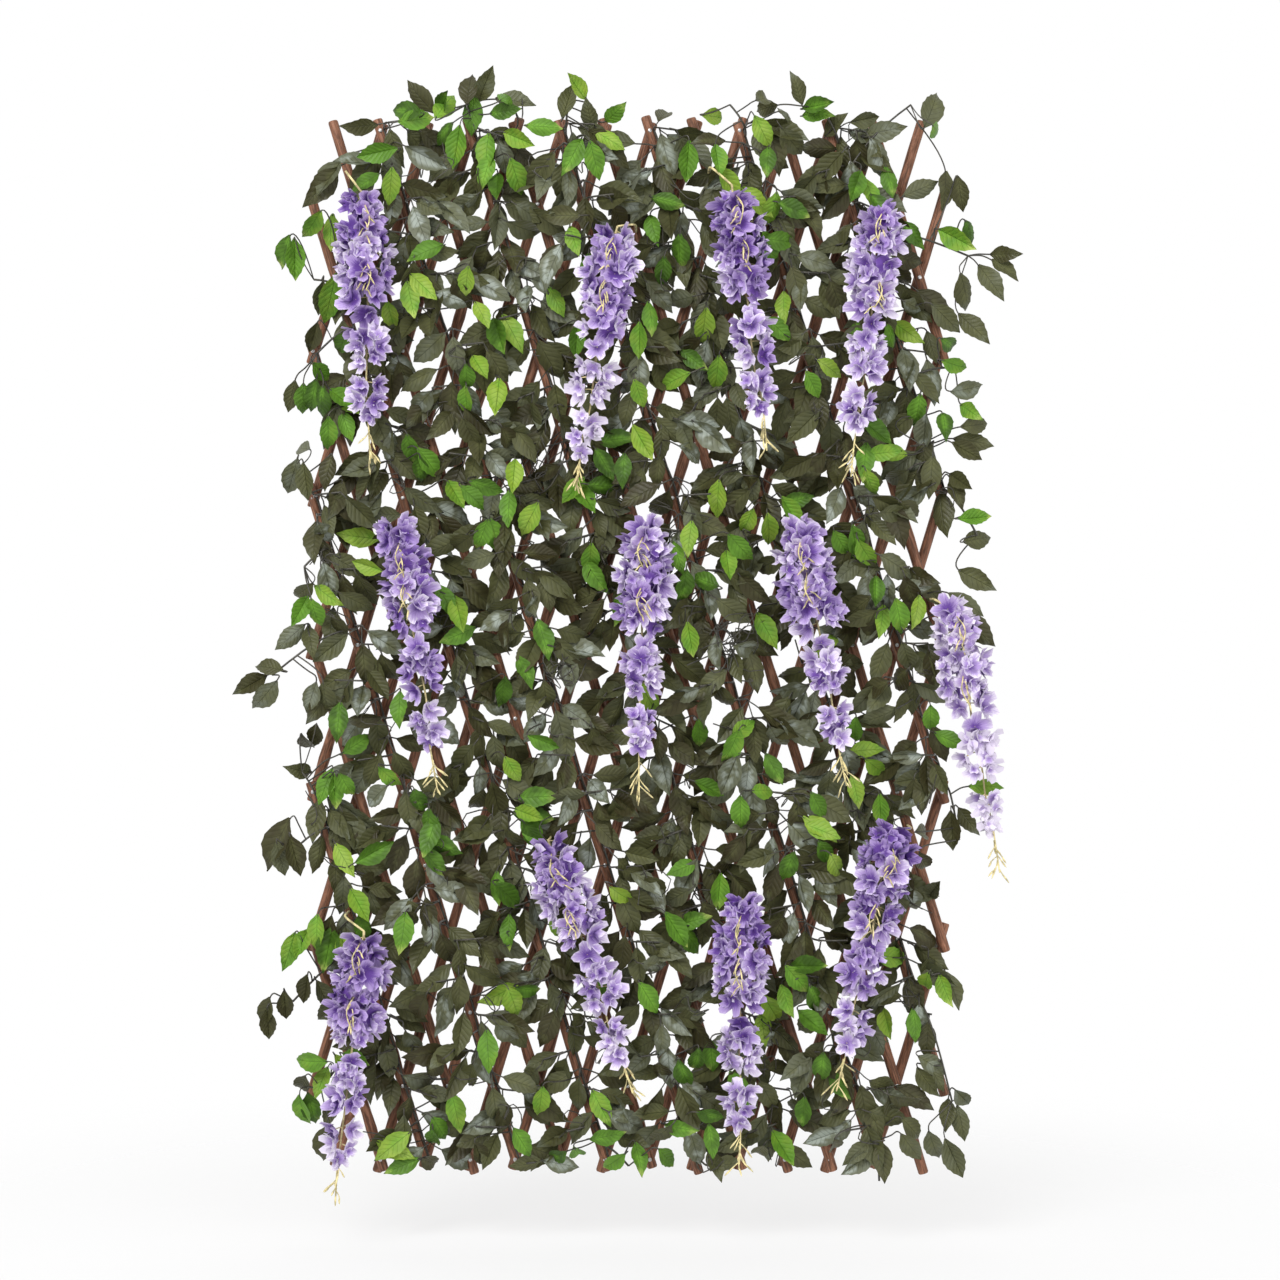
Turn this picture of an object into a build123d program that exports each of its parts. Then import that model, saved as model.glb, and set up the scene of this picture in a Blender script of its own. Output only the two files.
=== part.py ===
from build123d import *
import os
from math import cos, radians, sin

# An expanding willow trellis, dressed with leaf garlands and hanging wisteria racemes.
# X runs across the screen, Z runs up, and -Y points to the person who looks at it.
# The origin is on the centre nail, halfway between the two layers of sticks.

# Lattice. A place on it is counted in half columns from the left and half rows from the bottom.
columns = 14
rows = 7
nail_pitch = 100.0
half_angle = 17.0

# Sticks
stick_diameter = 13.0
layer_gap = 0.8
stick_overhang = 16.0
overhang_shares = (1.0, 0.75, 1.25, 0.85, 1.1)
end_chamfer = 1.2
knot_diameter = 15.0
knot_inset = 0.2
knot_every = 3
knot_share = 0.46

# Nails
nail_diameter = 2.4
nail_head_diameter = 5.2
nail_head_height = 1.0
nail_head_sink = 0.5
nail_crown_share = 0.6
clinch_diameter = 4.0
clinch_height = 0.7
clinch_gap = 0.15
running_clearance = 0.06
cut_overrun = 2.0

# Leaves and the sprays that they grow on
leaf_length = 58.0
leaf_width = 31.0
leaf_thickness = 0.8
leaf_widest_share = 0.42
stem_diameter = 2.4
stem_width = 2.0
node_share = 1.25
spray_tilt = 5.0
spray_roll = 6.0
spray_stem_length = 40.0
spray_pitch = 50.0
spray_droop = 8.0
spray_turns = (0, 14, -10, 6, -16, 10)
layer_clearance = 1.0

# Each leaf of a spray: its place along the stem, and its turn from the stem
spray_shares = ((0.10, 74), (0.52, 42), (1.00, 3), (0.76, -40), (0.22, -76))
sprig_shares = ((0.42, 52), (0.55, -46), (0.70, 38), (0.82, -36), (1.00, 4))

# Vines that hold the sprays along every second front stick
vine_diameter = 2.4
vine_seat = 0.3
vine_side_angle = 40.0
spray_seat = 0.2

# Racemes
raceme_length = 300.0
raceme_tail_length = 42.0
rachis_diameter = 3.4
tail_diameter = 1.8
floret_diameter = 27.0
floret_thickness = 1.2
floret_lobes = 5
floret_lobe_share = 0.56
floret_droop = 16.0
floret_reach = 30.0
floret_seat = 0.2
peg_diameter = 2.6
peg_depth = 6.0
pedicel_diameter = 3.4
raceme_standoff = 13.0
tail_bud_diameter = 5.0
tail_shares = ((0.30, 0.05), (0.55, -0.05), (0.80, 0.04), (1.00, -0.03))

# Each whorl of florets: its place down the raceme, its reach and the azimuths of its florets.
# Azimuth 0 faces the viewer, and no floret grows straight back into the leaves.
whorl_shares = (
    (0.04, 0.62, (-70, 5, 80)),
    (0.115, 1.00, (-90, -30, 30, 90)),
    (0.195, 1.05, (-62, 0, 62)),
    (0.275, 1.05, (-90, -32, 28, 88)),
    (0.355, 0.90, (-66, -4, 60)),
    (0.43, 0.75, (-95, -22, 50)),
    (0.53, 0.80, (-50, 20, 90)),
    (0.61, 0.80, (-85, -15, 55)),
    (0.69, 0.60, (-40, 50)),
    (0.79, 0.52, (-60, 40)),
    (0.87, 0.45, (-20, 80)),
    (0.95, 0.35, (-40,)),
)

# Where the top of each raceme hangs, in half columns and half rows, its lean from upright and the
# half row at which it is pegged to its stick.
raceme_places = (
    (2.51, 13.00, 1.3, 13.35),
    (13.58, 12.59, -9.1, 12.62),
    (18.57, 13.14, 7.5, 13.40),
    (25.18, 12.80, -6.9, 12.60),
    (4.07, 8.57, 8.2, 8.60),
    (14.78, 8.57, -1.3, 8.55),
    (21.47, 8.64, 10.4, 8.62),
    (28.17, 7.48, 10.3, 7.62),
    (10.54, 4.41, 18.4, 4.40),
    (25.62, 4.54, -12.3, 4.55),
    (2.51, 3.18, -6.1, 3.38),
    (19.02, 3.59, -0.7, 3.60),
)

# Long sprigs at the edges: the stick of their garland, the half row where they leave it, and the
# half column and half row that their tip reaches.
sprig_places = (
    (13, 11.80, -1.45, 12.10),
    (13, 11.30, -1.30, 10.60),
    (9, 9.00, -1.30, 9.60),
    (9, 8.30, -1.25, 7.80),
    (9, 7.20, -3.30, 6.30),
    (5, 4.90, -1.00, 5.60),
    (5, 4.50, -2.40, 3.90),
    (5, 2.90, -2.35, 1.80),
    (5, 1.90, -0.90, 0.55),
    (37, 12.55, 31.00, 12.15),
    (37, 10.60, 30.40, 10.90),
    (37, 9.10, 30.60, 8.00),
    (33, 5.10, 29.00, 3.80),
    (29, 2.40, 29.30, 2.70),
    (29, 2.10, 28.95, 0.25),
    (21, 13.90, 6.30, 14.85),
    (25, 13.90, 11.60, 14.80),
    (33, 13.90, 17.80, 14.60),
    (37, 13.80, 21.60, 14.80),
    (37, 13.40, 27.90, 14.75),
    (13, 0.20, 14.80, -0.25),
    (25, 0.20, 25.10, -0.40),
)

# The open diamond near the foot, where a tie or a plant's stem goes through
open_diamond = (13, 1)

stick_radius = stick_diameter / 2
nail_radius = nail_diameter / 2
nail_head_radius = nail_head_diameter / 2
stem_radius = stem_diameter / 2
vine_radius = vine_diameter / 2
across_step = nail_pitch * sin(radians(half_angle))
up_step = nail_pitch * cos(radians(half_angle))
last_column = 2 * columns
last_row = 2 * rows

# Depths, all counted from the origin
layer_depth = (stick_diameter + layer_gap) / 2
face_depth = layer_depth + stick_radius
vine_reach = stick_radius + vine_seat + vine_radius
vine_side = vine_reach * sin(radians(vine_side_angle))
vine_depth = layer_depth + vine_reach * cos(radians(vine_side_angle))
spray_reach = spray_stem_length + leaf_length
leaf_half_depth = spray_reach * sin(radians(spray_tilt)) + leaf_length * sin(radians(spray_roll))
near_leaf_depth = vine_depth + vine_radius + layer_clearance + leaf_half_depth
far_leaf_depth = near_leaf_depth + 2 * leaf_half_depth + layer_clearance
raceme_depth = far_leaf_depth + leaf_half_depth + raceme_standoff

# The short sticks that would cut off the four corners aren't fitted.
front_sums = range(3, last_column + last_row - 2, 2)
rear_differences = range(3 - last_row, last_column - 2, 2)
centre_sum = columns + rows
garland_sums = front_sums[1::2]

os.makedirs("parts", exist_ok=True)


def lattice_place(i, j):
    """The point at half column i and half row j, in the plane between the two layers."""
    return Vector((i - columns) * across_step, 0, (j - rows) * up_step)


def has_nail(i, j):
    """Whether two sticks cross at this place."""
    return (i + j) in front_sums and (i - j) in rear_differences


def front_places(total):
    """The places of a front stick, from its low end at the right to its high end at the left."""
    return [(total - j, j) for j in range(last_row + 1) if 0 <= total - j <= last_column]


def rear_places(difference):
    """The places of a rear stick, from its low end at the left to its high end at the right."""
    return [(difference + j, j) for j in range(last_row + 1) if 0 <= difference + j <= last_column]


def nail_points(places, skip_centre=False):
    """The points of a stick's nails."""
    return [
        lattice_place(i, j)
        for i, j in places
        if has_nail(i, j) and not (skip_centre and (i, j) == (columns, rows))
    ]


def cut_along_y(radius, near, far, points):
    """Cuts round holes along Y into the open part, between two depths."""
    middle = (near + far) / 2
    with Locations(*[Location((p.X, middle, p.Z), (90, 0, 0)) for p in points]):
        Cylinder(radius, far - near, mode=Mode.SUBTRACT)


def wire(start, end, radius, node=True):
    """Adds a straight round wire to the open part, with a swollen node at its far end."""
    with BuildSketch(Plane(origin=start, z_dir=end - start)) as section:
        Circle(radius)
    extrude(section.sketch, amount=(end - start).length)
    if node:
        with Locations(end):
            Sphere(radius * node_share)


def willow_stick(places, depth, number, knotted):
    """A bare stick through its places, with chamfered ends and knots that swell away from the nails."""
    points = [lattice_place(i, j) for i, j in places]
    along = (points[-1] - points[0]).normalized()
    set_back = Vector(0, depth, 0)
    low_overhang = stick_overhang * overhang_shares[number % len(overhang_shares)]
    high_overhang = stick_overhang * overhang_shares[(2 * number + 1) % len(overhang_shares)]
    low = points[0] - along * low_overhang + set_back
    high = points[-1] + along * high_overhang + set_back
    outward = 1 if depth > 0 else -1
    swell = Vector(0, outward * (knot_diameter / 2 - stick_radius + knot_inset), 0)
    first_knot = number % knot_every
    knots = [
        points[k] + (points[k + 1] - points[k]) * knot_share + set_back + swell
        for k in range(first_knot, len(points) - 1, knot_every)
    ]
    with BuildPart() as stick:
        with BuildSketch(Plane(origin=low, z_dir=along)):
            Circle(stick_radius)
        extrude(amount=(high - low).length)
        chamfer(stick.edges().filter_by(GeomType.CIRCLE), end_chamfer)
        if knotted and knots:
            with Locations(*knots):
                Sphere(knot_diameter / 2)
    return stick.part


def leafy_stem(leaf_shares, length, out_depth, side):
    """A stem that comes out of the vine to its layer, with a flat spray of leaves along X."""
    foot = Vector(0, -vine_radius - spray_seat, 0)
    elbow = Vector(0, vine_depth - out_depth, 0)
    facing = Location(elbow, (side * spray_roll, 0, side * spray_tilt))
    leaves = [Location((length * share, 0, 0), (0, 0, leaf_turn)) for share, leaf_turn in leaf_shares]
    with BuildPart() as stem:
        with BuildSketch(Plane(facing) * Plane.XZ):
            with Locations((length / 2, 0)):
                Rectangle(length, stem_width)
            with Locations(*leaves):
                add(leaf_outline.sketch)
        extrude(amount=leaf_thickness / 2, both=True)
        wire(foot, elbow, stem_diameter / 2, node=False)
    return stem.part


def on_vine(stem, point, turn):
    """The stem moved to a point of the vine and turned in the screen's plane."""
    return stem.moved(Location(point, (0, -turn, 0)))


# The nail: a domed head on the front stick, a shank through both and a clinched tail behind.
# It is revolved about Y, with its radius drawn along X.
head_top = -(face_depth + nail_head_height - nail_head_sink)
head_under = -(face_depth - nail_head_sink)
tail_start = face_depth + clinch_gap
tail_end = tail_start + clinch_height
crown_radius = nail_head_radius * nail_crown_share
with BuildPart() as centre_nail:
    with BuildSketch(Plane.XY):
        with BuildLine():
            Polyline(
                (0, head_top),
                (crown_radius, head_top),
                (nail_head_radius, (head_top + head_under) / 2),
                (nail_head_radius, head_under),
                (nail_radius, head_under),
                (nail_radius, tail_start),
                (clinch_diameter / 2, tail_start),
                (clinch_diameter / 2, tail_end),
                (0, tail_end),
                close=True,
            )
        make_face()
    revolve(axis=Axis.Y)
centre_nail.part.label = "centre_nail"
export_step(centre_nail.part, "parts/centre_nail.step")

# The outline of a leaf: a pointed oval that runs along X from its base at the origin
with BuildSketch() as leaf_outline:
    with BuildLine():
        widest = leaf_length * leaf_widest_share
        ThreePointArc((0, 0), (widest, leaf_width / 2), (leaf_length, 0))
        ThreePointArc((leaf_length, 0), (widest, -leaf_width / 2), (0, 0))
    make_face()


def floret(reach):
    """A lobed flower that faces along X at this reach from the rachis, on its stalk."""
    lobe_radius = floret_diameter / 2 * floret_lobe_share
    lobe_centre = floret_diameter / 2 - lobe_radius
    face = Plane(origin=(reach, 0, 0), z_dir=Vector(1, 0, 0).rotate(Axis.Y, floret_droop))
    with BuildPart() as made:
        with BuildSketch(face):
            with PolarLocations(lobe_centre, floret_lobes):
                Circle(lobe_radius)
        extrude(amount=floret_thickness / 2, both=True)
        wire(Vector(rachis_diameter / 2 + floret_seat, 0, 0), Vector(reach, 0, 0), stem_width / 2, node=False)
    return made.part


def raceme_point(i, j, lean, share):
    """A point on the rachis, a share of the way down from its top."""
    top = lattice_place(i, j) - Vector(0, raceme_depth, 0)
    down = Vector(sin(radians(lean)), 0, -cos(radians(lean)))
    return top + down * (raceme_length * share)


def nearest_sum(i, j):
    """The front stick that passes nearest to this place."""
    return min(front_sums, key=lambda total: abs(total - i - j))


def peg_point(i, j, peg_row):
    """Where a raceme's wire is pegged into the front stick behind its top."""
    return lattice_place(nearest_sum(i, peg_row) - peg_row, peg_row)


# The florets and tail buds of a raceme that hangs straight down from the origin
blossom = [
    floret(floret_reach * reach_share).moved(
        Location((0, 0, -raceme_length * share)) * Location((0, 0, 0), (0, 0, azimuth - 90))
    )
    for share, reach_share, azimuths in whorl_shares
    for azimuth in azimuths
]

for number, (i, j, lean, peg_row) in enumerate(raceme_places):
    peg = peg_point(i, j, peg_row)
    top = raceme_point(i, j, lean, 0)
    out = Vector(peg.X, top.Y, peg.Z)
    foot = peg - Vector(0, face_depth - peg_depth, 0)
    collar = peg - Vector(0, face_depth + vine_seat, 0)
    bottom = raceme_point(i, j, lean, 1)
    tail_tip = raceme_point(i, j, lean, 1 + raceme_tail_length / raceme_length)
    with BuildPart() as rachis:
        wire(foot, collar, peg_diameter / 2, node=False)
        wire(collar, out, pedicel_diameter / 2)
        wire(out, top, pedicel_diameter / 2)
        wire(top, bottom, rachis_diameter / 2)
        wire(bottom, tail_tip, tail_diameter / 2)
        with Locations(
            *[
                bottom + (tail_tip - bottom) * down + Vector(raceme_tail_length * side, 0, 0)
                for down, side in tail_shares
            ]
        ):
            Sphere(tail_bud_diameter / 2)
    name = f"raceme_{number + 1:02d}"
    florets = [one.moved(Location(top, (0, -lean, 0))) for one in blossom]
    export_step(Compound(label=name, children=[rachis.part, *florets]), f"parts/{name}.step")

# Front sticks, each with its own nails as separate solids
for number, total in enumerate(front_sums):
    places = front_places(total)
    points = nail_points(places, skip_centre=True)
    bare = willow_stick(places, -layer_depth, number, total not in garland_sums)
    pegs = [
        peg_point(i, j, peg_row)
        for i, j, lean, peg_row in raceme_places
        if nearest_sum(i, peg_row) == total
    ]
    with BuildPart() as front_stick:
        add(bare)
        with Locations(*points):
            add(centre_nail.part, mode=Mode.SUBTRACT)
        if pegs:
            peg_end = -(face_depth - peg_depth - running_clearance)
            cut_along_y(
                peg_diameter / 2 + running_clearance, -(face_depth + cut_overrun), peg_end, pegs
            )
        if total == centre_sum:
            centre = [lattice_place(columns, rows)]
            seat_depth = -(face_depth - nail_head_sink - running_clearance)
            cut_along_y(nail_radius + running_clearance, -(face_depth + cut_overrun), 0, centre)
            cut_along_y(
                nail_head_radius + running_clearance, -(face_depth + cut_overrun), seat_depth, centre
            )
    nails = [centre_nail.part.moved(Location(point)) for point in points]
    name = f"front_stick_{number + 1:02d}"
    stick_and_nails = Compound(label=name, children=[front_stick.part, *nails])
    export_step(stick_and_nails, f"parts/{name}.step")

# Rear sticks, which turn on the nails
for number, difference in enumerate(rear_differences):
    places = rear_places(difference)
    bare = willow_stick(places, layer_depth, number, True)
    with BuildPart() as rear_stick:
        add(bare)
        cut_along_y(nail_radius + running_clearance, 0, face_depth + cut_overrun, nail_points(places))
    rear_stick.part.label = f"rear_stick_{number + 1:02d}"
    export_step(rear_stick.part, f"parts/rear_stick_{number + 1:02d}.step")

# A spray for either side of the vine, in either layer of leaves
layer_depths = (near_leaf_depth, far_leaf_depth)
sprays = {
    (depth, side): leafy_stem(spray_shares, spray_stem_length, depth, side)
    for depth in layer_depths
    for side in (1, -1)
}


def spray_is_clear(point, side):
    """Whether a spray to this side keeps clear of the racemes' wires and of the open diamond."""
    return not any(
        abs(p.Z - point.Z) < leaf_length and -leaf_width < (p.X - point.X) * side < spray_reach
        for p in [*all_pegs, lattice_place(*open_diamond)]
    )


# Garlands: a vine along every second front stick, with sprays to either side in turn
all_pegs = [peg_point(i, j, peg_row) for i, j, lean, peg_row in raceme_places]
for number, total in enumerate(garland_sums):
    leaf_depth = layer_depths[number % 2]
    nails_here = nail_points(front_places(total))
    low, high = nails_here[0], nails_here[-1]
    along = (high - low).normalized()
    aside = Vector(vine_side * along.Z, -vine_depth, -vine_side * along.X)
    with BuildPart() as vine:
        with BuildSketch(Plane(origin=low + aside, z_dir=along)):
            Circle(vine_radius)
        extrude(amount=(high - low).length)
    stems = []
    count = round((high - low).length / spray_pitch)
    for k in range(count + 1):
        point = low + (high - low) * (k / count)
        side = 1 if k % 2 == 0 else -1
        turn = (0 if side > 0 else 180) - side * spray_droop + spray_turns[(k + number) % len(spray_turns)]
        if spray_is_clear(point, side):
            stems.append(on_vine(sprays[leaf_depth, side], point + aside, turn))
    for stick, row, tip_column, tip_row in sprig_places:
        if stick == total:
            point = lattice_place(total - row, row)
            reach = lattice_place(tip_column, tip_row) - point
            length = max(reach.length - leaf_length, spray_stem_length)
            turn = Vector(1, 0, 0).get_signed_angle(reach, Vector(0, -1, 0))
            stems.append(on_vine(leafy_stem(sprig_shares, length, leaf_depth, 0), point + aside, turn))
    name = f"garland_{number + 1:02d}"
    vine_and_stems = Compound(label=name, children=[vine.part, *stems])
    export_step(vine_and_stems, f"parts/{name}.step")
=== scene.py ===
import math
import random

import bmesh
import bpy
from bpy.props import FloatProperty, FloatVectorProperty, IntProperty, PointerProperty
from mathutils import Matrix, Vector


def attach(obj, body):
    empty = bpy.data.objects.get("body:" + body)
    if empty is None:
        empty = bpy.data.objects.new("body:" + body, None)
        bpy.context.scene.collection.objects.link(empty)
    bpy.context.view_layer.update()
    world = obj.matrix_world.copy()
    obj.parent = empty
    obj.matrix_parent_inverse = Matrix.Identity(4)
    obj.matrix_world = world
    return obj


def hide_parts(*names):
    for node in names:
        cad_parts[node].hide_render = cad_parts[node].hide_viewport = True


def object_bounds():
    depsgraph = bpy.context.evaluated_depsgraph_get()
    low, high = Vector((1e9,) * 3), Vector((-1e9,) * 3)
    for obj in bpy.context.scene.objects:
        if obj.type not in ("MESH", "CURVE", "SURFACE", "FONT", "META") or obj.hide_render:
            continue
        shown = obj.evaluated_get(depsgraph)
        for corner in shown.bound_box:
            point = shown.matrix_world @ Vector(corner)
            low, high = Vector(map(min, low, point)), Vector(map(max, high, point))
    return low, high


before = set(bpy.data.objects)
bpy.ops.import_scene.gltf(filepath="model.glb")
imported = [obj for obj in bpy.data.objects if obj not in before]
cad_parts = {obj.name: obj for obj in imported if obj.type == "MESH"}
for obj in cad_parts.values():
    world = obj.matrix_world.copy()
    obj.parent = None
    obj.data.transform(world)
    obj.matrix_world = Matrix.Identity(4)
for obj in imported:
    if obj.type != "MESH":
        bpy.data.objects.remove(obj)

bl_info = {
    "name": "Hedge trellis",
    "version": (1, 0, 0),
    "blender": (4, 5, 0),
    "location": "3D View > Sidebar > Trellis",
    "description": "Dresses an expanding willow trellis with leaves, vines and hanging wisteria",
    "category": "Object",
}

# The lattice, in metres. A place on it is counted in half columns and half rows.
MM = 0.001
COLUMNS = 14
ROWS = 7
HALF_ANGLE = math.radians(17.0)
NAIL_SPACING = 0.1
ACROSS = NAIL_SPACING * math.sin(HALF_ANGLE)
UP = NAIL_SPACING * math.cos(HALF_ANGLE)
STICK_RADIUS = 6.5 * MM
LAYER_DEPTH = 6.9 * MM
FACE_DEPTH = LAYER_DEPTH + STICK_RADIUS
VINE_DEPTH = 13.0 * MM
VINE_SIDE = 5.1 * MM
OVERHANG = 16.0 * MM
OVERHANG_SHARES = (1.0, 0.75, 1.25, 0.85, 1.1)
NEAR_LEAVES = 29.8 * MM
FAR_LEAVES = 60.0 * MM
RACEME_DEPTH = 87.6 * MM
RACEME_LENGTH = 0.300
TAIL_LENGTH = 0.042
SPRAY_PITCH = 50.0 * MM
SPRAY_DROOP = 8.0
SPRAY_TURNS = (0, 14, -10, 6, -16, 10)
SPRAY_LENGTH = 40.0 * MM
BRIGHT_LIFT = 11.0 * MM
# How far the tips of the leaves that no table lists may reach
LEFT_EDGE = -416.0 * MM
RIGHT_EDGE = 428.0 * MM
LOW_EDGE = -684.0 * MM
HIGH_EDGE = 706.0 * MM
PETIOLE = 8.0 * MM

# Where the viewer stands, this far in front of the lattice, and how wide the view is there
VIEW_DISTANCE = 4.0
VIEW_ACROSS = 16.3 * MM
VIEW_UP = 6.5 * MM
VIEW_WIDTH = 1280 * 1.305 * MM

FRONT_SUMS = range(3, 40, 2)
REAR_DIFFERENCES = range(-11, 26, 2)
GARLAND_SUMS = FRONT_SUMS[1::2]

# Where each raceme hangs: half column and half row of its top, its lean and the row of its peg.
RACEMES = (
    (2.51, 13.00, 1.3, 13.35),
    (13.58, 12.59, -9.1, 12.62),
    (18.57, 13.14, 7.5, 13.40),
    (25.18, 12.80, -6.9, 12.60),
    (4.07, 8.57, 8.2, 8.60),
    (14.78, 8.57, -1.3, 8.55),
    (21.47, 8.64, 10.4, 8.62),
    (28.17, 7.48, 10.3, 7.62),
    (10.54, 4.41, 18.4, 4.40),
    (25.62, 4.54, -12.3, 4.55),
    (2.51, 3.18, -6.1, 3.38),
    (19.02, 3.59, -0.7, 3.60),
)

# Each whorl of florets: its share of the way down, its reach, and how many florets it has
WHORLS = (
    (0.02, 0.50, 2),
    (0.07, 0.74, 3),
    (0.13, 0.98, 4),
    (0.19, 1.05, 3),
    (0.25, 1.06, 4),
    (0.31, 1.05, 3),
    (0.37, 1.00, 4),
    (0.43, 0.80, 2),
    (0.52, 0.45, 1),
    (0.59, 0.66, 3),
    (0.65, 0.80, 2),
    (0.70, 0.62, 2),
    (0.82, 0.50, 2),
    (0.88, 0.58, 2),
    (0.94, 0.36, 1),
)

# Long sprigs at the edges: the stick of their garland, the half row where they leave it, and the
# half column and half row that their tip reaches.
SPRIGS = (
    (13, 11.80, -1.45, 12.10),
    (13, 11.30, -1.30, 10.60),
    (9, 9.00, -1.30, 9.60),
    (9, 8.30, -1.25, 7.80),
    (9, 7.20, -3.30, 6.30),
    (5, 4.90, -1.00, 5.60),
    (5, 4.50, -2.40, 3.90),
    (5, 2.90, -2.35, 1.80),
    (5, 1.90, -0.90, 0.55),
    (37, 12.55, 31.00, 12.15),
    (37, 10.60, 30.40, 10.90),
    (37, 9.10, 30.60, 8.00),
    (33, 5.10, 29.00, 3.80),
    (29, 2.40, 29.30, 2.70),
    (29, 2.10, 28.95, 0.25),
    (21, 13.90, 6.30, 14.85),
    (25, 13.90, 11.60, 14.80),
    (33, 13.90, 17.80, 14.60),
    (37, 13.80, 21.60, 14.80),
    (37, 13.40, 27.90, 14.75),
    (13, 0.20, 14.80, -0.25),
    (25, 0.20, 25.10, -0.40),
)

# Leaves at the edges, each by the place of its base and of its tip, in millimetres across and up
# from the centre nail as the viewer sees them
DARK_EDGE = (
    (-253, 696, -294, 733), (-196, 710, -174, 758), (-209, 703, -206, 756), (-173, 714, -119, 709),
    (-85, 686, -70, 733), (-46, 677, -55, 711), (-375, 634, -403, 577), (-380, 624, -420, 568),
    (-396, 474, -405, 431), (-403, 420, -417, 385), (-433, 345, -444, 300), (-412, 254, -438, 260),
    (-429, 243, -448, 187), (-422, 238, -416, 188), (-386, 248, -399, 201), (-373, 214, -386, 161),
    (-409, 81, -442, 54), (-422, 27, -459, -9), (-418, 25, -409, -16), (-448, -33, -494, -23),
    (-472, -40, -517, -67), (-456, -46, -494, -93), (-405, -48, -422, -93), (-396, -48, -396, -102),
    (-423, -115, -414, -147), (-404, -102, -412, -138), (-416, -166, -440, -162),
    (-440, -226, -484, -300), (-457, -256, -447, -307), (-440, -247, -429, -303),
    (-391, -215, -362, -256), (-416, -428, -422, -468), (-447, -449, -447, -488),
    (-465, -458, -482, -505), (-469, -472, -469, -515), (-405, -436, -391, -475),
    (-418, -559, -434, -591), (-390, -625, -405, -685), (-386, -591, -396, -621),
    (-269, -668, -241, -684), (-199, -645, -191, -679), (-113, -675, -147, -683),
    (373, -243, 404, -245), (421, -215, 427, -269), (433, -213, 457, -249), (379, -269, 397, -303),
    (395, -329, 410, -303), (416, -428, 438, -475), (378, -535, 422, -564), (390, -545, 416, -581),
    (379, -552, 403, -594), (425, -577, 446, -599), (420, -594, 414, -634), (431, -602, 443, -649),
    (356, -615, 392, -651), (356, -636, 386, -679), (392, -632, 408, -681), (413, -642, 439, -696),
    (331, -649, 336, -703), (316, -649, 280, -679), (106, -662, 125, -696), (177, -649, 166, -676),
    (269, -641, 275, -672), (40, 680, 57, 711), (166, 707, 192, 722), (196, 702, 160, 697),
    (196, 693, 225, 703), (228, 707, 216, 749), (259, 667, 281, 692), (289, 680, 328, 693),
    (310, 667, 366, 675), (386, 673, 413, 732), (416, 620, 416, 566), (430, 611, 439, 562),
    (360, 587, 408, 604), (476, 512, 510, 508), (476, 504, 512, 479), (459, 497, 493, 450),
    (433, 484, 457, 429), (433, 433, 474, 394), (396, 444, 439, 405), (392, 411, 400, 371),
    (420, 330, 474, 337), (433, 284, 482, 291), (426, 270, 480, 264), (422, 264, 463, 241),
    (422, 224, 452, 200), (422, 218, 439, 177), (437, 134, 489, 147), (433, 98, 482, 70),
    (420, 68, 469, 43), (433, 44, 478, -5), (373, -172, 370, -226), (383, -175, 390, -222),
    (400, -155, 420, -198),
)
BRIGHT_EDGE = (
    (-246, 697, -229, 723), (-266, 693, -319, 702), (-166, 707, -144, 732), (-55, 714, -82, 746),
    (-29, 686, -2, 703), (-399, 566, -426, 523), (-386, 564, -391, 515), (-439, 534, -460, 487),
    (-434, 530, -435, 475), (-379, 484, -396, 414), (-363, 407, -386, 375), (-409, 367, -388, 343),
    (-422, 341, -423, 291), (-405, 347, -418, 298), (-396, 338, -409, 288), (-379, 330, -354, 308),
    (-390, 298, -390, 248), (-375, 308, -362, 268), (-409, 78, -373, 48), (-418, 64, -440, 21),
    (-412, 61, -405, 12), (-386, -162, -404, -209), (-375, -166, -357, -205), (-418, -372, -435, -412),
    (-435, -376, -447, -428), (-405, -352, -409, -402), (-386, -369, -396, -432),
    (-375, -378, -360, -432), (-390, -542, -446, -547), (-392, -552, -409, -591),
    (-379, -555, -373, -589), (-427, -585, -422, -639), (-416, -582, -408, -636),
    (-285, -638, -332, -672), (-272, -672, -319, -688), (-253, -628, -255, -666),
    (-79, -658, -109, -679), (-70, -651, -59, -681), (-3, -662, -37, -693), (392, -425, 383, -459),
    (409, -432, 418, -472), (373, -475, 383, -518), (10, -651, 23, -692), (40, -655, 65, -686),
    (96, 689, 136, 690), (229, 702, 273, 706), (229, 693, 267, 693), (396, 675, 420, 662),
    (407, 544, 459, 514), (439, 553, 463, 517), (407, 399, 437, 382), (409, 371, 452, 356),
    (413, 304, 416, 271), (437, 315, 456, 295), (430, 164, 476, 167), (446, -185, 489, -180),
)

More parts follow.
